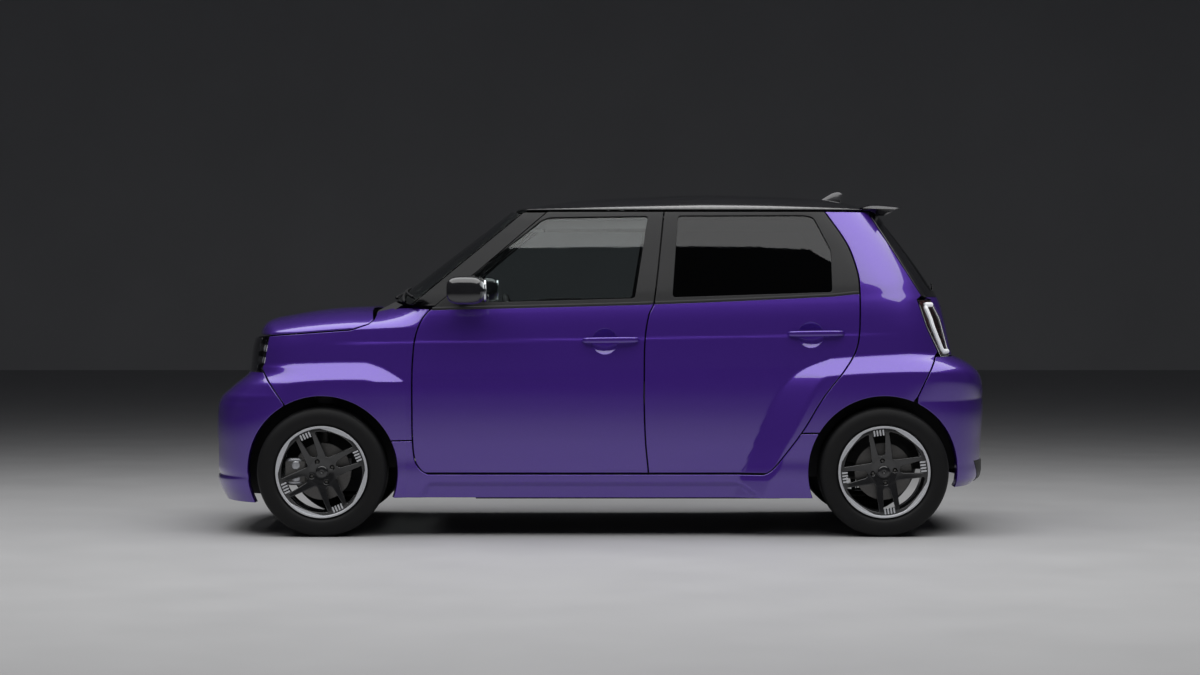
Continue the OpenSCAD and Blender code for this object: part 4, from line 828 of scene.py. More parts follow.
LAMP_CORE = material("lamp_core", (0.050, 0.010, 0.012), 0.2, coat=0.6)
FIN = material("fin_grey", (0.05, 0.05, 0.054), 0.3, coat=0.6)
MIRROR_GLASS = material("mirror_glass", (0.75, 0.78, 0.80), 0.03, 1.0, vary=0.02)

LEFT = (0, -1, 0)
UP = (0, 0, 1)
FRONT_WAY = (-1, 0, 0)
REAR_WAY = (1, 0, 0)


def ahead(table, z):
    """Place just ahead of a shut line"""
    return line_x(table, z) - HALF_GAP


def behind(table, z):
    """Place just behind a shut line"""
    return line_x(table, z) + HALF_GAP


def climb(table, z0, z1, shift, smooth=True):
    """Points along a shut line from one height to another"""
    z = np.linspace(z0, z1, max(2, int(abs(z1 - z0) / 8.0) + 1))
    x = line_x(table, z) if smooth else straight_x(table, z)
    return pack(x + shift, z)


def along(x0, x1, height, step=10.0):
    """Points along the car at a height that may change with the place"""
    x = np.linspace(x0, x1, max(2, int(abs(x1 - x0) / step) + 1))
    return pack(x, height(x) if callable(height) else height)


def at_belt(table):
    """Height where a shut line meets the belt"""
    z = 1040.0
    for _ in range(8):
        z = belt_z(line_x(table, z))
    return z


# Doors: painted lower half with bowl, handle and armrest, black window frame, pane
DOORS = {
    "front": {
        "lines": (DOOR_FRONT, DOOR_SPLIT), "window": FRONT_WINDOW, "glass": CLEAR, "slot": "glass",
        "spacing": 13.0, "handle": (48.0, 883.0), "bowl": (22.0, 877.0), "armrest": (-230.0, 250.0)},
    "rear": {
        "lines": (DOOR_SPLIT, DOOR_REAR), "window": REAR_WINDOW, "glass": PRIVACY, "slot": "tinted_glass",
        "spacing": 9.0, "handle": (969.5, 912.0), "bowl": (946.0, 906.0), "armrest": (540.0, 170.0)}}
DOOR_DEPTH = 60.0
DOOR_INSET = 18.0
BOWL_WIDE = 56.0
BOWL_HIGH = 57.0
BOWL_DEPTH = 24.0
HANDLE_HALF = 130.0
HANDLE_SLOPE = 0.012
ARMREST_LEVEL = 715.0
door_low = zs(DOOR_LOW) + HALF_GAP
door_top = zs(DOOR_TOP) - HALF_GAP


def bowl(x, z):
    """Dish behind a door handle, and the lining over its back"""
    share = np.linspace(1.0, 0.0, 12)[:, None]
    a = angles(48)
    faces = strips(len(share), len(a))
    p = on_side(x + (BOWL_WIDE + 2) * share * np.cos(a), z + (BOWL_HIGH + 2) * share * np.sin(a))
    p[..., 1] += 3 + BOWL_DEPTH * (1 - share ** 2.4)
    n = pack(-0.5 * share * np.cos(a), -1.0, -0.5 * share * np.sin(a))
    shape = Shape().add(p, n, faces)
    cover = (BOWL_WIDE + DOOR_INSET + 4) * share
    cover = pack(x + cover * np.cos(a), z + cover * np.sin(a)).reshape(-1, 2)
    p, _, _, n, _ = frame_on(on_side, cover, LEFT)
    return shape.add(p - n * (DOOR_DEPTH + 0.8), -n, [f[::-1] for f in faces], 1)


def armrest(x, half):
    """Padded rest on the inside of a door"""
    s = np.linspace(-1, 1, 33)
    a = angles(32)
    base = on_side(x + half * s, ARMREST_LEVEL)
    base[:, 1] += DOOR_DEPTH + 6
    ring = pack(0, 30 * blunt(np.sin(a), 0.7), 24 * blunt(np.cos(a), 0.7))
    full = np.sqrt(np.maximum(0.02, 1 - s ** 8))
    shape = loft(base[:, None] + ring * full[:, None, None])
    shape.slots = [1] * len(shape.slots)
    return shape


def handle(x, z):
    """Bar handle that stands off the door on two feet"""
    s = np.linspace(-1, 1, 41)
    a = angles(20)
    px = x + HANDLE_HALF * s
    pz = z + HANDLE_SLOPE * HANDLE_HALF * s
    feet = np.clip((np.abs(s) - 0.72) / 0.28, 0, 1) ** 2
    stand = 0.75 * (30 - 12 * s ** 2 - 19.8 * feet)
    base = pack(px, -body_half(px, pz) - stand, pz)
    full = np.sqrt(np.maximum(0.06, 1 - np.abs(s) ** 26))
    thick = pack(full, 7.5 * full, (13 - 2 * np.abs(s) ** 3) * full)
    ring = pack(0, blunt(np.cos(a), 0.7), blunt(np.sin(a), 0.7))
    return loft(base[:, None] + ring * thick[:, None])


def ribbon(path, height, stand):
    """Rounded trim strip on the side of the car"""
    a = angles(12)
    ring = pack(0, np.sin(a) * stand, np.cos(a) * height / 2)
    return loft(on_side(*path.T)[:, None] + ring)


for which, spec in DOORS.items():
    front, rear = spec["lines"]
    zf, zr = at_belt(front), at_belt(rear)
    xf, xr = behind(front, zf), ahead(rear, zr)
    skin_loop = joined(
        climb(front, door_low, zf - 4, HALF_GAP),
        along(xf, xr, lambda x: belt_z(x) - 4),
        climb(rear, zr - 4, door_low, -HALF_GAP),
        along(ahead(rear, door_low), behind(front, door_low), door_low))
    skin_loop = cut_circle(skin_loop, REAR_AXLE, ARCH + GAP)
    bowl_loop = oval(*spec["bowl"], BOWL_WIDE, BOWL_HIGH, 48)
    skin = panel(on_side, [skin_loop, bowl_loop], LEFT, spec["spacing"], DOOR_DEPTH, 2.4, DOOR_INSET)
    skin.join(bowl(*spec["bowl"])).join(armrest(*spec["armrest"]))
    frame_loop = joined(
        climb(front, zf - 2, door_top, HALF_GAP),
        along(behind(front, door_top), ahead(rear, door_top), door_top),
        climb(rear, door_top, zr - 2, -HALF_GAP),
        along(xr, xf, lambda x: belt_z(x) - 2))
    corners = at_shares(spec["window"])
    window_frame = panel(on_side, [frame_loop, rounded(corners, 16)], LEFT, 14.0, 30.0, 1.8, 1.0)
    pane = panel(side_at(9.0), [grown(rounded(corners, 18), 1.012)], LEFT, 22.0, 4.0, 0.4)
    strip = ribbon(along(xf + 3, xr - 3, lambda x: belt_z(x) + 1), 15.0, 4.0)
    door = "door_" + which + "_{}"
    make_both(door + "_skin", skin, [PAINT, LINING], door, [door], "paint")
    make_both(door + "_frame", window_frame, [SATIN, TRIM], door)
    make_both(door + "_pane", pane, [spec["glass"]] * 2, door, ["glass_" + which + "_{}"], spec["slot"])
    make_both(door + "_sill_strip", strip, [TRIM], door)
    make_both(door + "_handle", handle(*spec["handle"]), [PAINT], door)

# Wings, quarters, skirts and pillars
WING_FOOT = zs(0.278)
WING_HEAD = zs(0.580)
WING_REAR_TOP = zs(0.657)
QUARTER_FOOT = zs(0.301)
wing_low = WING_FOOT + HALF_GAP
fender_loop = joined(
    climb(FENDER_FRONT, wing_low, WING_HEAD - HALF_GAP, HALF_GAP, smooth=False),
    along(behind(FENDER_FRONT, WING_HEAD), ahead(DOOR_FRONT, WING_REAR_TOP),
          lambda x: straight_z(FENDER_EDGE, x) - HALF_GAP, 5.0),
    climb(DOOR_FRONT, WING_REAR_TOP, wing_low, -HALF_GAP),
    along(ahead(DOOR_FRONT, wing_low), FRONT_AXLE, wing_low))
fender = panel(on_side, [cut_circle(fender_loop, FRONT_AXLE, ARCH)], LEFT, 9.0, 16.0, 2.4)
make_both("fender_{}", fender, [PAINT, UNDER], "body", ["fenders"], "paint")
quarter_low = QUARTER_FOOT + HALF_GAP
quarter_loop = joined(
    climb(DOOR_REAR, quarter_low, door_top, HALF_GAP),
    along(behind(DOOR_REAR, door_top), straight_x(QUARTER_REAR, door_top) - HALF_GAP, door_top),
    climb(QUARTER_REAR, door_top, quarter_low, -HALF_GAP, smooth=False),
    along(REAR_AXLE, behind(DOOR_REAR, quarter_low), quarter_low))
quarter = panel(on_side, [cut_circle(quarter_loop, REAR_AXLE, ARCH)], LEFT, 10.0, 22.0, 2.4)
make_both("quarter_{}", quarter, [PAINT, LINING], "body", ["quarters"], "paint")

RECESS_Z = (185, 240)
RECESS_FRONT = (-805, -777)
RECESS_REAR = (716, 639)


def on_skirt(u, v):
    """Sill with a rolled ledge and a long shallow recess along its foot"""
    front_end = ramp((u - np.interp(v, RECESS_Z, RECESS_FRONT)) / 22)
    rear_end = ramp((np.interp(v, RECESS_Z, RECESS_REAR) - u) / 34)
    recess = ramp((242 - v) / 16) * front_end * rear_end
    return on_side(u, v, 12.0 - 10.0 * ease((v - 250) / 120) - 11.0 * recess)


SKIRT_LOW = 174.0
SKIRT_START = -980.0
SKIRT_END = 1010.0
SKIRT_FRONT = [(0, 0.106), (1, 0.106)]
SKIRT_REAR = [(0, 0.9), (1, 0.9)]
SKIRT_REAR_TOP = zs(0.300)
sill = zs(DOOR_LOW) - GAP
front_top, rear_top = WING_FOOT - HALF_GAP, SKIRT_REAR_TOP - HALF_GAP
skirt_loop = joined(
    along(SKIRT_START, SKIRT_END, SKIRT_LOW),
    climb(SKIRT_REAR, SKIRT_LOW, rear_top, 0.0),
    along(SKIRT_END + 5, behind(DOOR_REAR, SKIRT_REAR_TOP), rear_top, 3.0),
    climb(DOOR_REAR, rear_top, sill, HALF_GAP),
    along(behind(DOOR_REAR, sill), ahead(DOOR_FRONT, sill), sill),
    climb(DOOR_FRONT, sill, front_top, -HALF_GAP),
    along(ahead(DOOR_FRONT, WING_FOOT), SKIRT_START, front_top, 3.0),
    climb(SKIRT_FRONT, front_top, SKIRT_LOW, 0.0))
skirt_loop = cut_circle(cut_circle(skirt_loop, FRONT_AXLE, ARCH), REAR_AXLE, ARCH)
skirt = panel(on_skirt, [skirt_loop], LEFT, 11.0, 20.0, 3.0)
make_both("skirt_{}", skirt, [PAINT, UNDER], "body", ["side_skirts"], "paint")
pillar_low, pillar_top = 1040.0, 1457.0
pillar_loop = joined(
    climb(PILLAR_FRONT, pillar_low, pillar_top, HALF_GAP, smooth=False),
    along(straight_x(PILLAR_FRONT, pillar_top) + HALF_GAP, ahead(DOOR_FRONT, pillar_top), pillar_top),
    climb(DOOR_FRONT, pillar_top, pillar_low, -HALF_GAP))
pillar = panel(side_at(-0.8), [pillar_loop], LEFT, 14.0, 12.0, 1.6)
make_both("pillar_{}", pillar, [SATIN, TRIM], "body", slot="gloss_black")


# Front and rear: outlines in the length round the end and the height
def arch_x(axle, z, way):
    """Edge of a wheel arch at a height, ahead of the axle or behind it"""
    return axle + way * np.sqrt(np.maximum(0, ARCH ** 2 - (z - TYRE) ** 2))


def front_side(z, table, arch=False):
    """Length round the nose to a shut line"""
    x = straight_x(table, z) - HALF_GAP
    if arch:
        x = np.where(z < TYRE + ARCH, np.minimum(x, arch_x(FRONT_AXLE, z, -1)), x)
    return arc_of(x - nose_x(z), z)


def rear_side(z, table, arch=False):
    """Length round the tail to a shut line"""
    x = straight_x(table, z) + HALF_GAP
    if arch:
        x = np.where(z < TYRE + ARCH, np.maximum(x, arch_x(REAR_AXLE, z, 1)), x)
    return arc_of(tail_x(z) - x, z)


def end_loop(z0, z1, side):
    """Outline across an end of the car between two heights"""
    z = np.linspace(z0, z1, max(3, int((z1 - z0) / 8.0)))
    u = side(z)
    low = pack(np.linspace(-u[0], u[0], 90), z0)
    high = pack(np.linspace(u[-1], -u[-1], 90), z1)
    return joined(low, pack(u, z), high, pack(-u, z)[::-1])


def on_bumper(u, v):
    """Front bumper with a groove above its lip"""
    p = on_front(u, v)
    groove = 13 * np.exp(-((v - 266) / 13) ** 2)
    p[..., 0] += groove * np.cos(np.minimum(np.abs(u) / 900, 1) * np.pi / 2)
    return p


BUMPER_LOW = 148.0
BUMPER_HIGH = 734.7
intake = rounded(np.array(INTAKE) * [HALF_WIDTH, ROOF], 26, 10.0)
bumper_loop = end_loop(BUMPER_LOW, BUMPER_HIGH, lambda z: front_side(z, BUMPER_SIDE, True))
front_bumper = panel(on_bumper, [bumper_loop, intake], FRONT_WAY, 16.0, 20.0, 2.6)
make("front_bumper_skin", front_bumper, [PAINT, UNDER], "body", ["front_bumper"], "paint")
mesh_back = panel(front_at(40.0), [intake * [1.02, 1]], FRONT_WAY, 40.0, 6.0, 0.8)
for level in (275.0, 305.0, 335.0, 365.0, 395.0):
    half = np.interp(level, [256, 318, 426], [405, 468, 436])
    mesh_back.join(tube(front_at(30.0)(np.linspace(-half, half, 60), level), 6.0, 8))
make("front_intake", mesh_back, [TRIM, TRIM], "body", slot="trim")

# Headlamps: smoked lens over a dark bowl with ribs and two eyes
LAMP_LOW = 737.0
LAMP_HIGH = 890.0
lamp_start = np.interp(np.radians(40), ARC_ANGLE, ARC)
nose_loop = end_loop(LAMP_LOW, LAMP_HIGH, lambda z: np.full_like(z, lamp_start))
nose_panel = panel(on_front, [nose_loop], FRONT_WAY, 18.0, 20.0, 2.0)
make("nose_panel", nose_panel, [BLACK, UNDER], "body", ["front_panel"], "gloss_black")


def lamp_loop(inset):
    z = np.linspace(LAMP_LOW + inset, LAMP_HIGH - inset, 22)
    u = front_side(z, FENDER_FRONT) - inset
    return joined(pack(-u, z), pack(-lamp_start - 4 - inset, z[::-1]))


head_lens = panel(on_front, [lamp_loop(0.0)], FRONT_WAY, 14.0, 4.0, 1.2)
make_both("head_lens_{}", head_lens, [SMOKED, SMOKED], "body", ["headlamps"], "lamp")
head_bowl = panel(front_at(30.0), [lamp_loop(4.0)], FRONT_WAY, 16.0, 8.0, 1.0)
make_both("head_bowl_{}", head_bowl, [BLACK, UNDER], "body")
ribs = Shape()
for k in range(9):
    z = np.linspace(752, 876, 14)
    u = lamp_start + 18 + (front_side(z, FENDER_FRONT) - lamp_start - 34) * (k / 8)
    ribs.join(tube(front_at(24.0)(-u, z), 3.2 if k % 2 else 5.0, 8))
make_both("head_ribs_{}", ribs, [SILVER], "body")
EYE = [(0.01, 9), (9, 7), (15, 2), (18, -6), (21, -6), (22, -1), (25, -1), (25, -9), (0.01, -9)]
eyes = Shape()
for level in (788.0, 842.0):
    u = lamp_start + 0.45 * (front_side(np.array(level), FENDER_FRONT) - lamp_start)
    centre, _, _, way, _ = frame_on(front_at(22.0), np.array([[-u, level]]), FRONT_WAY)
    spin = Vector(way[0]).to_track_quat("Z", "Y").to_matrix().to_4x4()
    eyes.join(lathe(EYE, 36).moved(Matrix.Translation(centre[0]) @ spin))
make_both("head_eyes_{}", eyes, [LAMP_WHITE], "body")

# Rear bumper and tailgate
REAR_BUMPER_LOW = 214.0
REAR_BUMPER_HIGH = 805.7
DIFFUSER_LOW = 230.0
DIFFUSER_HIGH = 330.0
TAILGATE_LOW = 813.7
TAILGATE_BELT = 1075.0
TAILGATE_HIGH = 1450.8
GRIP_LEVEL = 1030.0
WIPER_LEVEL = 1104.0
NUB = [(0.01, 16), (12, 14), (17, 6), (19, -6), (0.01, -6)]
rear_loop = end_loop(REAR_BUMPER_LOW, REAR_BUMPER_HIGH, lambda z: rear_side(z, REAR_BUMPER_SIDE, True))
rear_bumper = panel(on_rear, [rear_loop], REAR_WAY, 16.0, 20.0, 2.6)
make("rear_bumper_skin", rear_bumper, [PAINT, UNDER], "body", ["rear_bumper"], "paint")
diffuser_loop = end_loop(DIFFUSER_LOW, DIFFUSER_HIGH, lambda z: 560 - 0.9 * (DIFFUSER_HIGH - z))
diffuser = panel(rear_at(-2.0), [diffuser_loop], REAR_WAY, 18.0, 8.0, 2.0)
for u in (-330.0, -110.0, 110.0, 330.0):
    diffuser.join(tube(on_rear(u, np.linspace(236, 322, 12)), 5.0, 8))
make("rear_diffuser", diffuser, [SATIN, UNDER], "body", slot="gloss_black")


def tail_side(z):
    return rear_side(z + HALF_GAP, TAIL_EDGE)


def round_of(y, z):
    """Length round the tail of a place across the car"""
    a = np.arcsin(np.clip(np.abs(y) / plain_half(tail_x(z) - 40, z), 0, 1) ** (power(z) / 2))
    return np.sign(y) * np.interp(a, ARC_ANGLE, ARC)


def tail_window(grow):
    y, z = (np.array(TAIL_WINDOW) * [HALF_WIDTH, ROOF]).T
    corners = pack(y + np.copysign(grow, y), z + np.where(z > 1200, grow, -grow))
    y, z = rounded(corners, 30, 10.0).T
    return pack(round_of(y, z), z)


tail_low = panel(on_rear, [end_loop(TAILGATE_LOW, TAILGATE_BELT - 1, tail_side)], REAR_WAY, 16.0, 26.0, 2.4)
make("tailgate_skin", tail_low, [PAINT, LINING], "tailgate", ["tailgate"], "paint")
tail_loops = [end_loop(TAILGATE_BELT + 1, TAILGATE_HIGH, tail_side), tail_window(0.0)]
tail_high = panel(on_rear, tail_loops, REAR_WAY, 16.0, 26.0, 2.0)
make("tailgate_frame", tail_high, [BLACK, LINING], "tailgate", slot="gloss_black")
rear_pane = panel(rear_at(7.0), [tail_window(6.0)], REAR_WAY, 24.0, 4.0, 0.5)
make("rear_pane", rear_pane, [PRIVACY, PRIVACY], "tailgate", ["rear_glass"], "glass")
tail_grip = tube(rear_at(-3.0)(np.linspace(-170, 170, 30), GRIP_LEVEL), 9.0, 12)
make("tailgate_grip", tail_grip, [BLACK], "tailgate", slot="gloss_black")
nub_place = rear_at(-2.0)(0.0, WIPER_LEVEL)
rear_wiper = lathe(NUB, 32).moved(Matrix.Translation(nub_place) @ Matrix.Rotation(math.radians(80), 4, "Y"))
share = np.linspace(0, 1, 30)
rear_blade = rear_at(-9.0)(-330 * share, WIPER_LEVEL + 30 * share ** 2)
rear_wiper.join(tube(rear_blade, np.linspace(7, 4, 30), 8))
make("rear_wiper", rear_wiper, [SATIN], "tailgate", slot="trim")

# Tail lamps: clear lens, dark core and a bright guide
TAIL_LAMP_LOW = 808.0
TAIL_LAMP_HIGH = 1061.0
lens_loop = joined(
    climb(LAMP_FRONT, TAIL_LAMP_LOW, TAIL_LAMP_HIGH, HALF_GAP, smooth=False),
    climb(LAMP_REAR, TAIL_LAMP_HIGH, TAIL_LAMP_LOW, -HALF_GAP, smooth=False))
tail_lens = panel(on_side, [lens_loop], LEFT, 12.0, 3.0, 1.0)
make_both("tail_lens_{}", tail_lens, [LENS, LENS], "body", ["tail_lamps"], "lamp")
core = panel(side_at(14.0), [grown(lens_loop, [0.90, 0.97])], LEFT, 14.0, 6.0, 0.8)
make_both("tail_core_{}", core, [LAMP_CORE, BLACK], "body")


def in_lamp(a, z):
    """Place between the front and the rear edge of the tail lamp"""
    front = straight_x(LAMP_FRONT, z)
    return front + a * (straight_x(LAMP_REAR, z) - front)


guide_z = np.concatenate([np.full(6, 1040.0), np.linspace(1030, 840, 24), np.full(6, 828.0)])
guide_a = np.concatenate([np.linspace(0.82, 0.40, 6), np.full(24, 0.34), np.linspace(0.40, 0.80, 6)])
guide = tube(on_side(in_lamp(guide_a, guide_z), guide_z, -9.0), 11.0, 12)
edge_z = np.linspace(830, 1045, 30)
guide.join(tube(on_side(in_lamp(0.86, edge_z), edge_z, -7.0), 3.0, 8))
make_both("tail_guide_{}", guide, [LAMP_WHITE], "body")


# Hood, roof and glass
def oblong(half, length):
    return np.array([(-half, 0.0), (half, 0.0), (half, length), (-half, length)])


SCREEN_WAY = (-1, 0, 1)
hood = panel(on_hood, [rounded(oblong(ACROSS, HOOD_RUN), 24.0, 12.0)], UP, 11.0, 14.0, 2.6)
make("hood_skin", hood, [PAINT, UNDER], "hood", ["hood"], "paint")
roof = panel(on_roof, [spaced(oblong(ACROSS, ROOF_RUN), 14.0)], UP, 22.0, 18.0, 3.0)
make("roof_skin", roof, [BLACK, LINING], "body", ["roof"], "gloss_black")
screen_loop = spaced(oblong(ACROSS, SCREEN_RUN), 20.0)
screen = panel(on_screen, [screen_loop], SCREEN_WAY, 26.0, 5.0, 0.6)
make("windscreen_pane", screen, [CLEAR, CLEAR], "body", ["windscreen"], "glass")
band_hole = rounded([(-552, 60), (552, 60), (560, 570), (-560, 570)], 40, 16.0)
band_loops = [screen_loop * 0.995, band_hole]
band = panel(lambda u, v: on_screen(u, v, 8.0), band_loops, SCREEN_WAY, 24.0, 2.0, 0.4)
make("windscreen_band", band, [SATIN, SATIN], "body")

COWL_HALF = 500.0
COWL_RUN = 100.0


def on_cowl(u, v):
    """Cover between the hood's rear edge and the foot of the windscreen"""
    s, t = u / ACROSS, v / COWL_RUN
    foot = on_screen(0.94 * u, np.zeros_like(u))
    x = hood_rear(s) + 12
    z = zs(0.652) - 70 * s * s
    return pack(x + (foot[..., 0] - 5 - x) * t, foot[..., 1], z + (foot[..., 2] - 8 - z) * t)


cowl = panel(on_cowl, [spaced(oblong(COWL_HALF, COWL_RUN), 16.0)], UP, 20.0, 10.0, 1.6)
make("cowl_cover", cowl, [TRIM, TRIM], "body", ["cowl"], "trim")
wipers = Shape()
for start, end, low in ((-120.0, 470.0, 50.0), (-540.0, 20.0, 40.0)):
    t = np.linspace(0, 1, 36)
    blade = on_screen(start + (end - start) * t, low + 30 * t, -7.0)
    arm = on_screen(start + 40 + (end - start) * 0.5 * t, 5 + (low + 12) * t, t - 9.0)
    wipers.join(tube(blade, 5.0, 8)).join(tube(arm, np.linspace(8, 5, 36), 8))
make("wipers", wipers, [SATIN], "body", slot="trim")


# Spoiler and fin
def spoiler_section(s):
    """Section of the spoiler at a share of its half span"""
    t, h = np.array(SPOILER).T
    x = xs(ROOF_REAR) + 12 + t * (209.2 - 44.1 * s * s)
    z = zs(h)
    thin = 1 - 0.35 * max(0, abs(s) - 0.9) / 0.1
    z = z.mean() + (z - z.mean()) * thin - 10 * s * s
    return pack(x, s * 0.63 * HALF_WIDTH, z)


spoiler = loft([spoiler_section(s) for s in np.sin(np.linspace(-np.pi / 2, np.pi / 2, 41))])
make("spoiler_wing", spoiler, [BLACK], "tailgate", ["spoiler"], "gloss_black")
FIN_AT = 0.923
FIN_LENGTH = 115.0
FIN_HEIGHT = 42.0
t = np.linspace(0, 1, 24)[:, None]
a = np.linspace(0, np.pi, 13)
fall = np.where(t > 0.86, 1 - (t - 0.86) * 1.4, 1)
fin_top = FIN_HEIGHT * np.sin(np.minimum(t / 0.82, 1) * np.pi / 2) ** 1.3 * fall
fin_half = 4 + 18 * np.sqrt(np.maximum(0, 1 - (2 * t - 1) ** 2))
fin_base = zs(curve(FIN_AT, ROOF_CROWN)) - 6
fin = loft(pack(xs(FIN_AT) - 57 + FIN_LENGTH * t + 6 * np.sin(a),
    fin_half * np.cos(a),
    fin_base + (fin_top + 8) * np.sin(a) ** 0.8))
make("roof_fin", fin, [FIN], "body", slot="gloss_black")


# Mirrors
def ball(rows, turns, p, q):
    """Unit ball drawn out toward a box, in rows from end to end of its last axis"""
    v = np.linspace(-np.pi / 2, np.pi / 2, rows)[:, None]
    u = np.linspace(-np.pi, np.pi, turns + 1)[:-1]
    wide = blunt(np.cos(v), p)
    return pack(wide * blunt(np.cos(u), q), wide * blunt(np.sin(u), q), blunt(np.sin(v), p))


def bulb(centre, sizes, p, q, rows=24, turns=36):
    """Rounded box"""
    return loft(ball(rows, turns, p, q) * sizes + centre, cap=False)


MIRROR_Y = -822.0
MIRROR_Z = 1106.0
MIRROR_HALF = 73.0
mirror = bulb([-594.0, MIRROR_Y, MIRROR_Z], [86.0, MIRROR_HALF, 63.0], 0.6, 0.62)
for section in mirror.points:
    section[:, 0] += 10 * (section[:, 1] - MIRROR_Y) / MIRROR_HALF
a = angles(20)
mirror.join(loft([
    pack(-625 + 26 * np.cos(a), y, 1070 + 15 * np.sin(a)) for y in np.linspace(-800, -690, 8)]))
make_both("mirror_{}_shell", mirror, [BLACK], "door_front_{}", ["mirror_{}"], "gloss_black")
a = angles(40)
glass_y = MIRROR_Y - 3 + 60 * blunt(np.cos(a), 0.6)
glass_z = MIRROR_Z + 50 * blunt(np.sin(a), 0.6)
mirror_glass = loft([pack(x, glass_y, glass_z) for x in (-513.0, -507.0)])
make_both("mirror_{}_glass", mirror_glass, [MIRROR_GLASS], "door_front_{}")


# Wheels stand on the local Z axis with the outer side up
def tyre_profile():
    """Half outline of the tyre with tread grooves, then mirrored"""
    half = [(r * TYRE, h * TYRE_WIDTH / 2) for r, h in TYRE_SIDE]
    half += [(r * TYRE - 0.2, h * TYRE_WIDTH / 2) for h, r in TREAD]
    return half + [(r, -h) for r, h in half[-2::-1]]


def flat_panel(loops, height, depth, roll, spacing):
    """Sheet seen from the outer side of the wheel, with its height from the distance to the middle"""
    def place(u, v):
        return pack(u, v, height(np.hypot(u, v)))
    return panel(place, loops, UP, spacing, depth, roll)


def spun(loop, angle):
    c, s = math.cos(angle), math.sin(angle)
    return loop @ np.array([[c, s], [-s, c]])


def face_height(r):
    """Face of the spokes: low at the nuts, high at the rim"""
    return 68 + 14 * ease((r - 55) / 130) - 6 * ease((60 - r) / 30)


def crescent_height(r):
    return face_height(r) + 1.2 + 2.2 * ease((r - 186) / 14)


def tooth_height(r):
    return face_height(r) + 1.0


QUARTERS = [k * math.pi / 2 for k in range(4)]
FACE_RADIUS = 198.0
NUT_RADIUS = 50.0
RIM_IN = 181.0
SPOKE_EDGE = 47.0
SLOT_ROOT = 17.0
SLOT_END = 28.0
SLOT_OUT = RIM_IN - 8
CUT_RADIUS = 199.0
CUT_SPAN = math.radians(50)
CUT_SWELL = 13.0
TOOTH_PITCH = 13.5
TOOTH_HALF = 3.6
edge_angle = math.asin(SPOKE_EDGE / RIM_IN)
window_arc = polar(RIM_IN, np.linspace(edge_angle, math.pi / 2 - edge_angle, 24))
window = rounded([(SPOKE_EDGE, SPOKE_EDGE), *window_arc], 12, 6.0)
a = np.linspace(-math.pi / 2, math.pi / 2, 13)
slot_root = pack(92 - 19 * np.cos(a), SLOT_ROOT * np.sin(a))
slot_end = [(SLOT_OUT, SLOT_END), (SLOT_OUT, -SLOT_END)]
slot_hole = spaced(np.concatenate([slot_root, slot_end])[::-1], 6.0)
face_loops = [oval(0, 0, FACE_RADIUS, FACE_RADIUS, 150)]
for angle in QUARTERS:
    for hole in (window, slot_hole, oval(NUT_RADIUS, 0, 10, 10, 24)):
        face_loops.append(spun(hole, angle))
wheel_face = flat_panel(face_loops, face_height, 15.0, 3.6, 9.0)
barrel = lathe(BARREL, 128)
hub = lathe(HUB, 72)
lip = lathe(RIM_LIP, 128)
disc = lathe(DISC, 96)
tyre = lathe(tyre_profile(), 112)
nuts = Shape()
cuts = Shape()
for angle in QUARTERS:
    nuts.join(lathe(NUT, 6).moved(Matrix.Translation((*polar(NUT_RADIUS, angle), 0))))
    share = np.linspace(0, 1, 32)
    a = angle + math.radians(20) + CUT_SPAN * share
    swell = 1 + CUT_SWELL * np.maximum(0, np.sin(share * math.pi)) ** 0.7
    crescent = joined(polar(CUT_RADIUS, a), polar(CUT_RADIUS - swell, a)[::-1])
    cuts.join(flat_panel([crescent], crescent_height, 3.0, 0.8, 8.0))
    for tooth in (-1.5, -0.5, 0.5, 1.5):
        low, high = tooth * TOOTH_PITCH - TOOTH_HALF, tooth * TOOTH_PITCH + TOOTH_HALF
        box = [(RIM_IN - 18, low), (RIM_IN + 8, low), (RIM_IN + 8, high), (RIM_IN - 18, high)]
        cuts.join(flat_panel([spun(rounded(box, 1.5, 3.0), angle)], tooth_height, 8.0, 0.8, 4.0))


def wheel_matrix(x, turn):
    hub_place = Matrix.Translation((x, -HALF_TRACK, TYRE)) @ Matrix.Rotation(math.pi / 2, 4, "X")
    return hub_place @ Matrix.Rotation(math.radians(turn), 4, "Z")


for end, axle, turn in (("front", FRONT_AXLE, 24.0), ("rear", REAR_AXLE, 8.0)):
    m = wheel_matrix(axle, turn)
    wheel = "wheel_" + end + "_{}"
    make_both("tyre_" + end + "_{}_rubber", tyre.moved(m), [RUBBER], wheel, ["tyre_" + end + "_{}"], "tyre")
    make_both(wheel + "_face", wheel_face.moved(m), [ALLOY, ALLOY], wheel, [wheel], "alloy")
    make_both(wheel + "_barrel", barrel.moved(m).join(hub.moved(m)), [ALLOY], wheel, slot="alloy")
    make_both(wheel + "_nuts", sharp(nuts.moved(m)), [STEEL], wheel)
    make_both(wheel + "_cut", lip.moved(m).join(cuts.moved(m)), [CUT_ALLOY], wheel)
    make_both(wheel + "_disc", disc.moved(m), [STEEL], wheel)
caliper = bulb([-126.0, 0.0, 22.0], [40.0, 62.0, 23.0], 0.35, 0.45)
for level in (-28.0, 28.0):
    caliper.join(bulb([-118.0, level, 38.0], [20.0, 20.0, 11.0], 0.5, 0.8, 12, 24))
make_both("caliper_{}", caliper.moved(wheel_matrix(FRONT_AXLE, 0.0)), [CAST], "knuckle_{}")


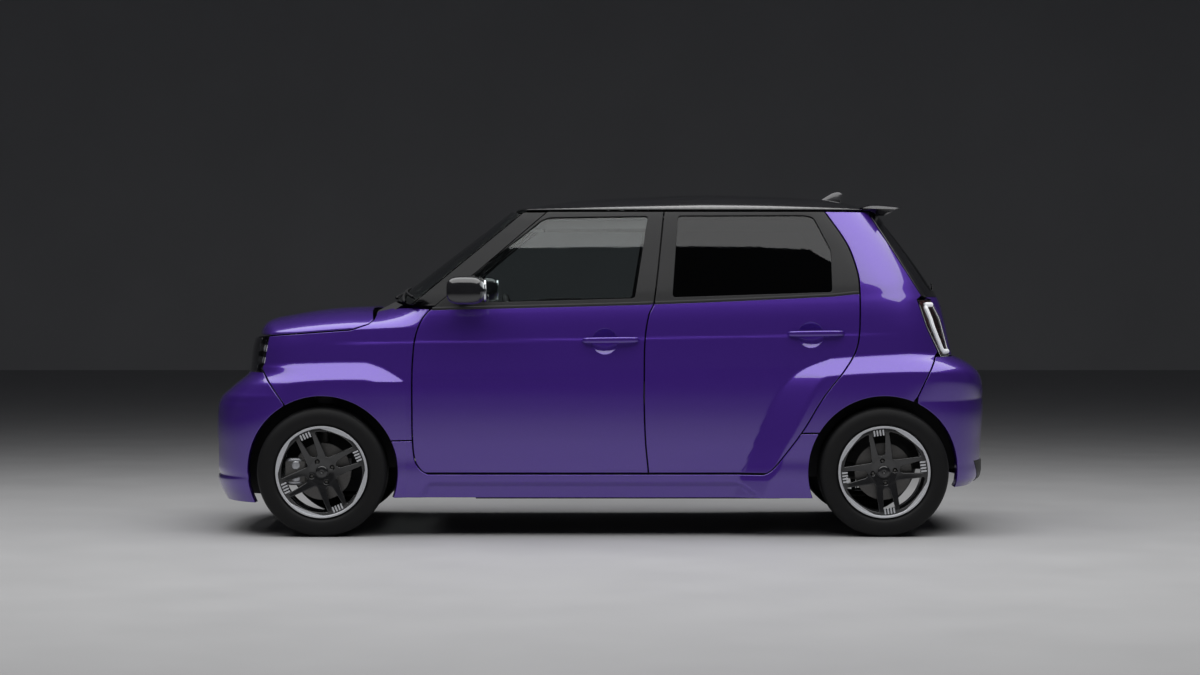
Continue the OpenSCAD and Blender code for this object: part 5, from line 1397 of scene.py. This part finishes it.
# Seats: crowned cushions with seams
def cushion(centre, sizes, lean, seams=()):
    """Padded block whose faces swell between seams that run along it"""
    x, z, y = np.moveaxis(ball(36, 56, 0.45, 0.45), -1, 0)
    crown = 0.10 * (1 - x ** 2) * (1 - y ** 2)
    for s in seams:
        crown = crown - 0.10 * np.exp(-((y - s) / 0.045) ** 2) * (np.abs(x) < 0.97)
    shape = loft(pack(x, y, z + np.sign(z) * crown) * sizes, cap=False)
    return shape.moved(Matrix.Translation(centre) @ Matrix.Rotation(math.radians(lean), 4, "Y"))


SEAT_HALF = 235.0
SEAT_SEAMS = (-0.5, 0.5)
REST_SEAMS = (-0.62, 0.62)
BENCH_HALF = 460.0
BENCH_SEAMS = (-0.52, 0.0, 0.52)
FOOT = [(-200, -190), (170, -190), (170, 190), (-200, 190)]
for side, y in (("left", -320.0), ("right", 320.0)):
    pad = cushion([-30.0, y, 530.0], [225.0, SEAT_HALF, 48.0], 5.0, SEAT_SEAMS)
    pad.join(cushion([240.0, y, 800.0], [285.0, SEAT_HALF * 0.96, 46.0], -68.0, SEAT_SEAMS))
    for way in (-SEAT_HALF, SEAT_HALF):
        pad.join(cushion([-30.0, y + way * 0.84, 556.0], [205.0, 42.0, 42.0], 5.0))
        pad.join(cushion([215.0, y + way * 0.82, 800.0], [240.0, 42.0, 46.0], -68.0))
    pad.join(cushion([393.0, y, 1195.0], [72.0, 120.0, 42.0], -74.0, REST_SEAMS))
    piece = make("front_seat_" + side, pad, [FABRIC], "body", ["front_seats"], "fabric")
    posts = Shape()
    for post_y in (y - 55.0, y + 55.0):
        posts.join(tube([(352.0, post_y, 1060.0), (382.0, post_y, 1160.0)], 6.0, 10))
    posts.join(loft([[(a, y + b, z) for a, b in FOOT] for z in (262.0, 490.0)]))
    make("front_seat_frame_" + side, sharp(posts), [TRIM], "body", slot="trim")
bench = cushion([700.0, 0.0, 500.0], [160.0, BENCH_HALF, 50.0], 5.0, BENCH_SEAMS)
bench.join(cushion([1004.0, 0.0, 760.0], [250.0, BENCH_HALF, 42.0], -70.0, BENCH_SEAMS))
bench.join(cushion([700.0, 0.0, 360.0], [135.0, BENCH_HALF - 5, 95.0], 0.0))
for y in (-300.0, 300.0):
    bench.join(cushion([1112.0, y, 1060.0], [68.0, 112.0, 36.0], -76.0, REST_SEAMS))
piece = make("rear_bench", bench, [FABRIC], "body", ["rear_seat"], "fabric")

# Splash shields beside the front wheels
SHIELD = [(-1640, 176), (-1500, 168), (-1500, 300), (-1640, 300)]
shield = loft([[(x, y, z) for x, z in SHIELD] for y in (-405.0, -399.0)])
make_both("splash_shield_{}", sharp(shield), [TRIM], "body", slot="trim")

# Pieces of the solid model that show as they are
FINISH = {
    "paint": PAINT, "gloss_black": SATIN, "alloy": CAST, "trim": TRIM, "steel": UNDER, "tyre": RUBBER,
    "glass": CLEAR, "tinted_glass": PRIVACY, "lamp": LENS, "fabric": FABRIC}
for part in frame["record"]["subparts"]:
    obj = frame["nodes"][part["node"]]
    if not obj.data.materials:
        obj.data.materials.append(None)
    for k in range(len(obj.material_slots)):
        obj.material_slots[k].material = FINISH[part["material_slot"]]
for side in ("left", "right"):
    frame["nodes"]["knuckle_" + side].material_slots[0].material = STEEL


# Studio: pale floor, wall far behind, one wide soft light above
def sheet(name, corners, surface):
    mesh = bpy.data.meshes.new(name)
    mesh.from_pydata(corners, [], [[0, 1, 2, 3]])
    mesh.materials.append(surface)
    obj = bpy.data.objects.new(name, mesh)
    bpy.context.scene.collection.objects.link(obj)
    obj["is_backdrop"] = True


FLOOR = material("studio_floor", (0.40, 0.40, 0.405), 0.6, vary=0.03, grain=2.0)
WALL = material("studio_wall", (0.58, 0.58, 0.59), 0.9, vary=0.05, grain=0.5)
sheet("floor", [(-60, -60, 0), (60, -60, 0), (60, 24, 0), (-60, 24, 0)], FLOOR)
sheet("wall", [(-60, 24, 0), (60, 24, 0), (60, 24, 24), (-60, 24, 24)], WALL)

# The softbox hangs flat, so it shines straight down
lamp = bpy.data.lights.new("softbox_top", "AREA")
lamp.shape = "RECTANGLE"
lamp.size = 11.0
lamp.size_y = 8.4
lamp.energy = 660
softbox = bpy.data.objects.new("softbox_top", lamp)
softbox.location = (0, -1.8, 5.0)
bpy.context.scene.collection.objects.link(softbox)
softbox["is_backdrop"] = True
world = bpy.data.worlds.new("studio")
bpy.context.scene.world = world
world.use_nodes = True
put(world.node_tree.nodes["Background"], {"Color": (0.30, 0.31, 0.34, 1), "Strength": 0.10})

camera = bpy.data.cameras.new("camera")
camera.sensor_width = 36.0
camera.lens = 91.0
eye = bpy.data.objects.new("camera", camera)
eye.location = (0.0, -14.32, 1.16)
eye.rotation_euler = (math.radians(90 - 1.12), 0, 0)
bpy.context.scene.collection.objects.link(eye)
bpy.context.scene.camera = eye
bpy.context.scene.view_settings.view_transform = "Standard"

low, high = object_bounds()
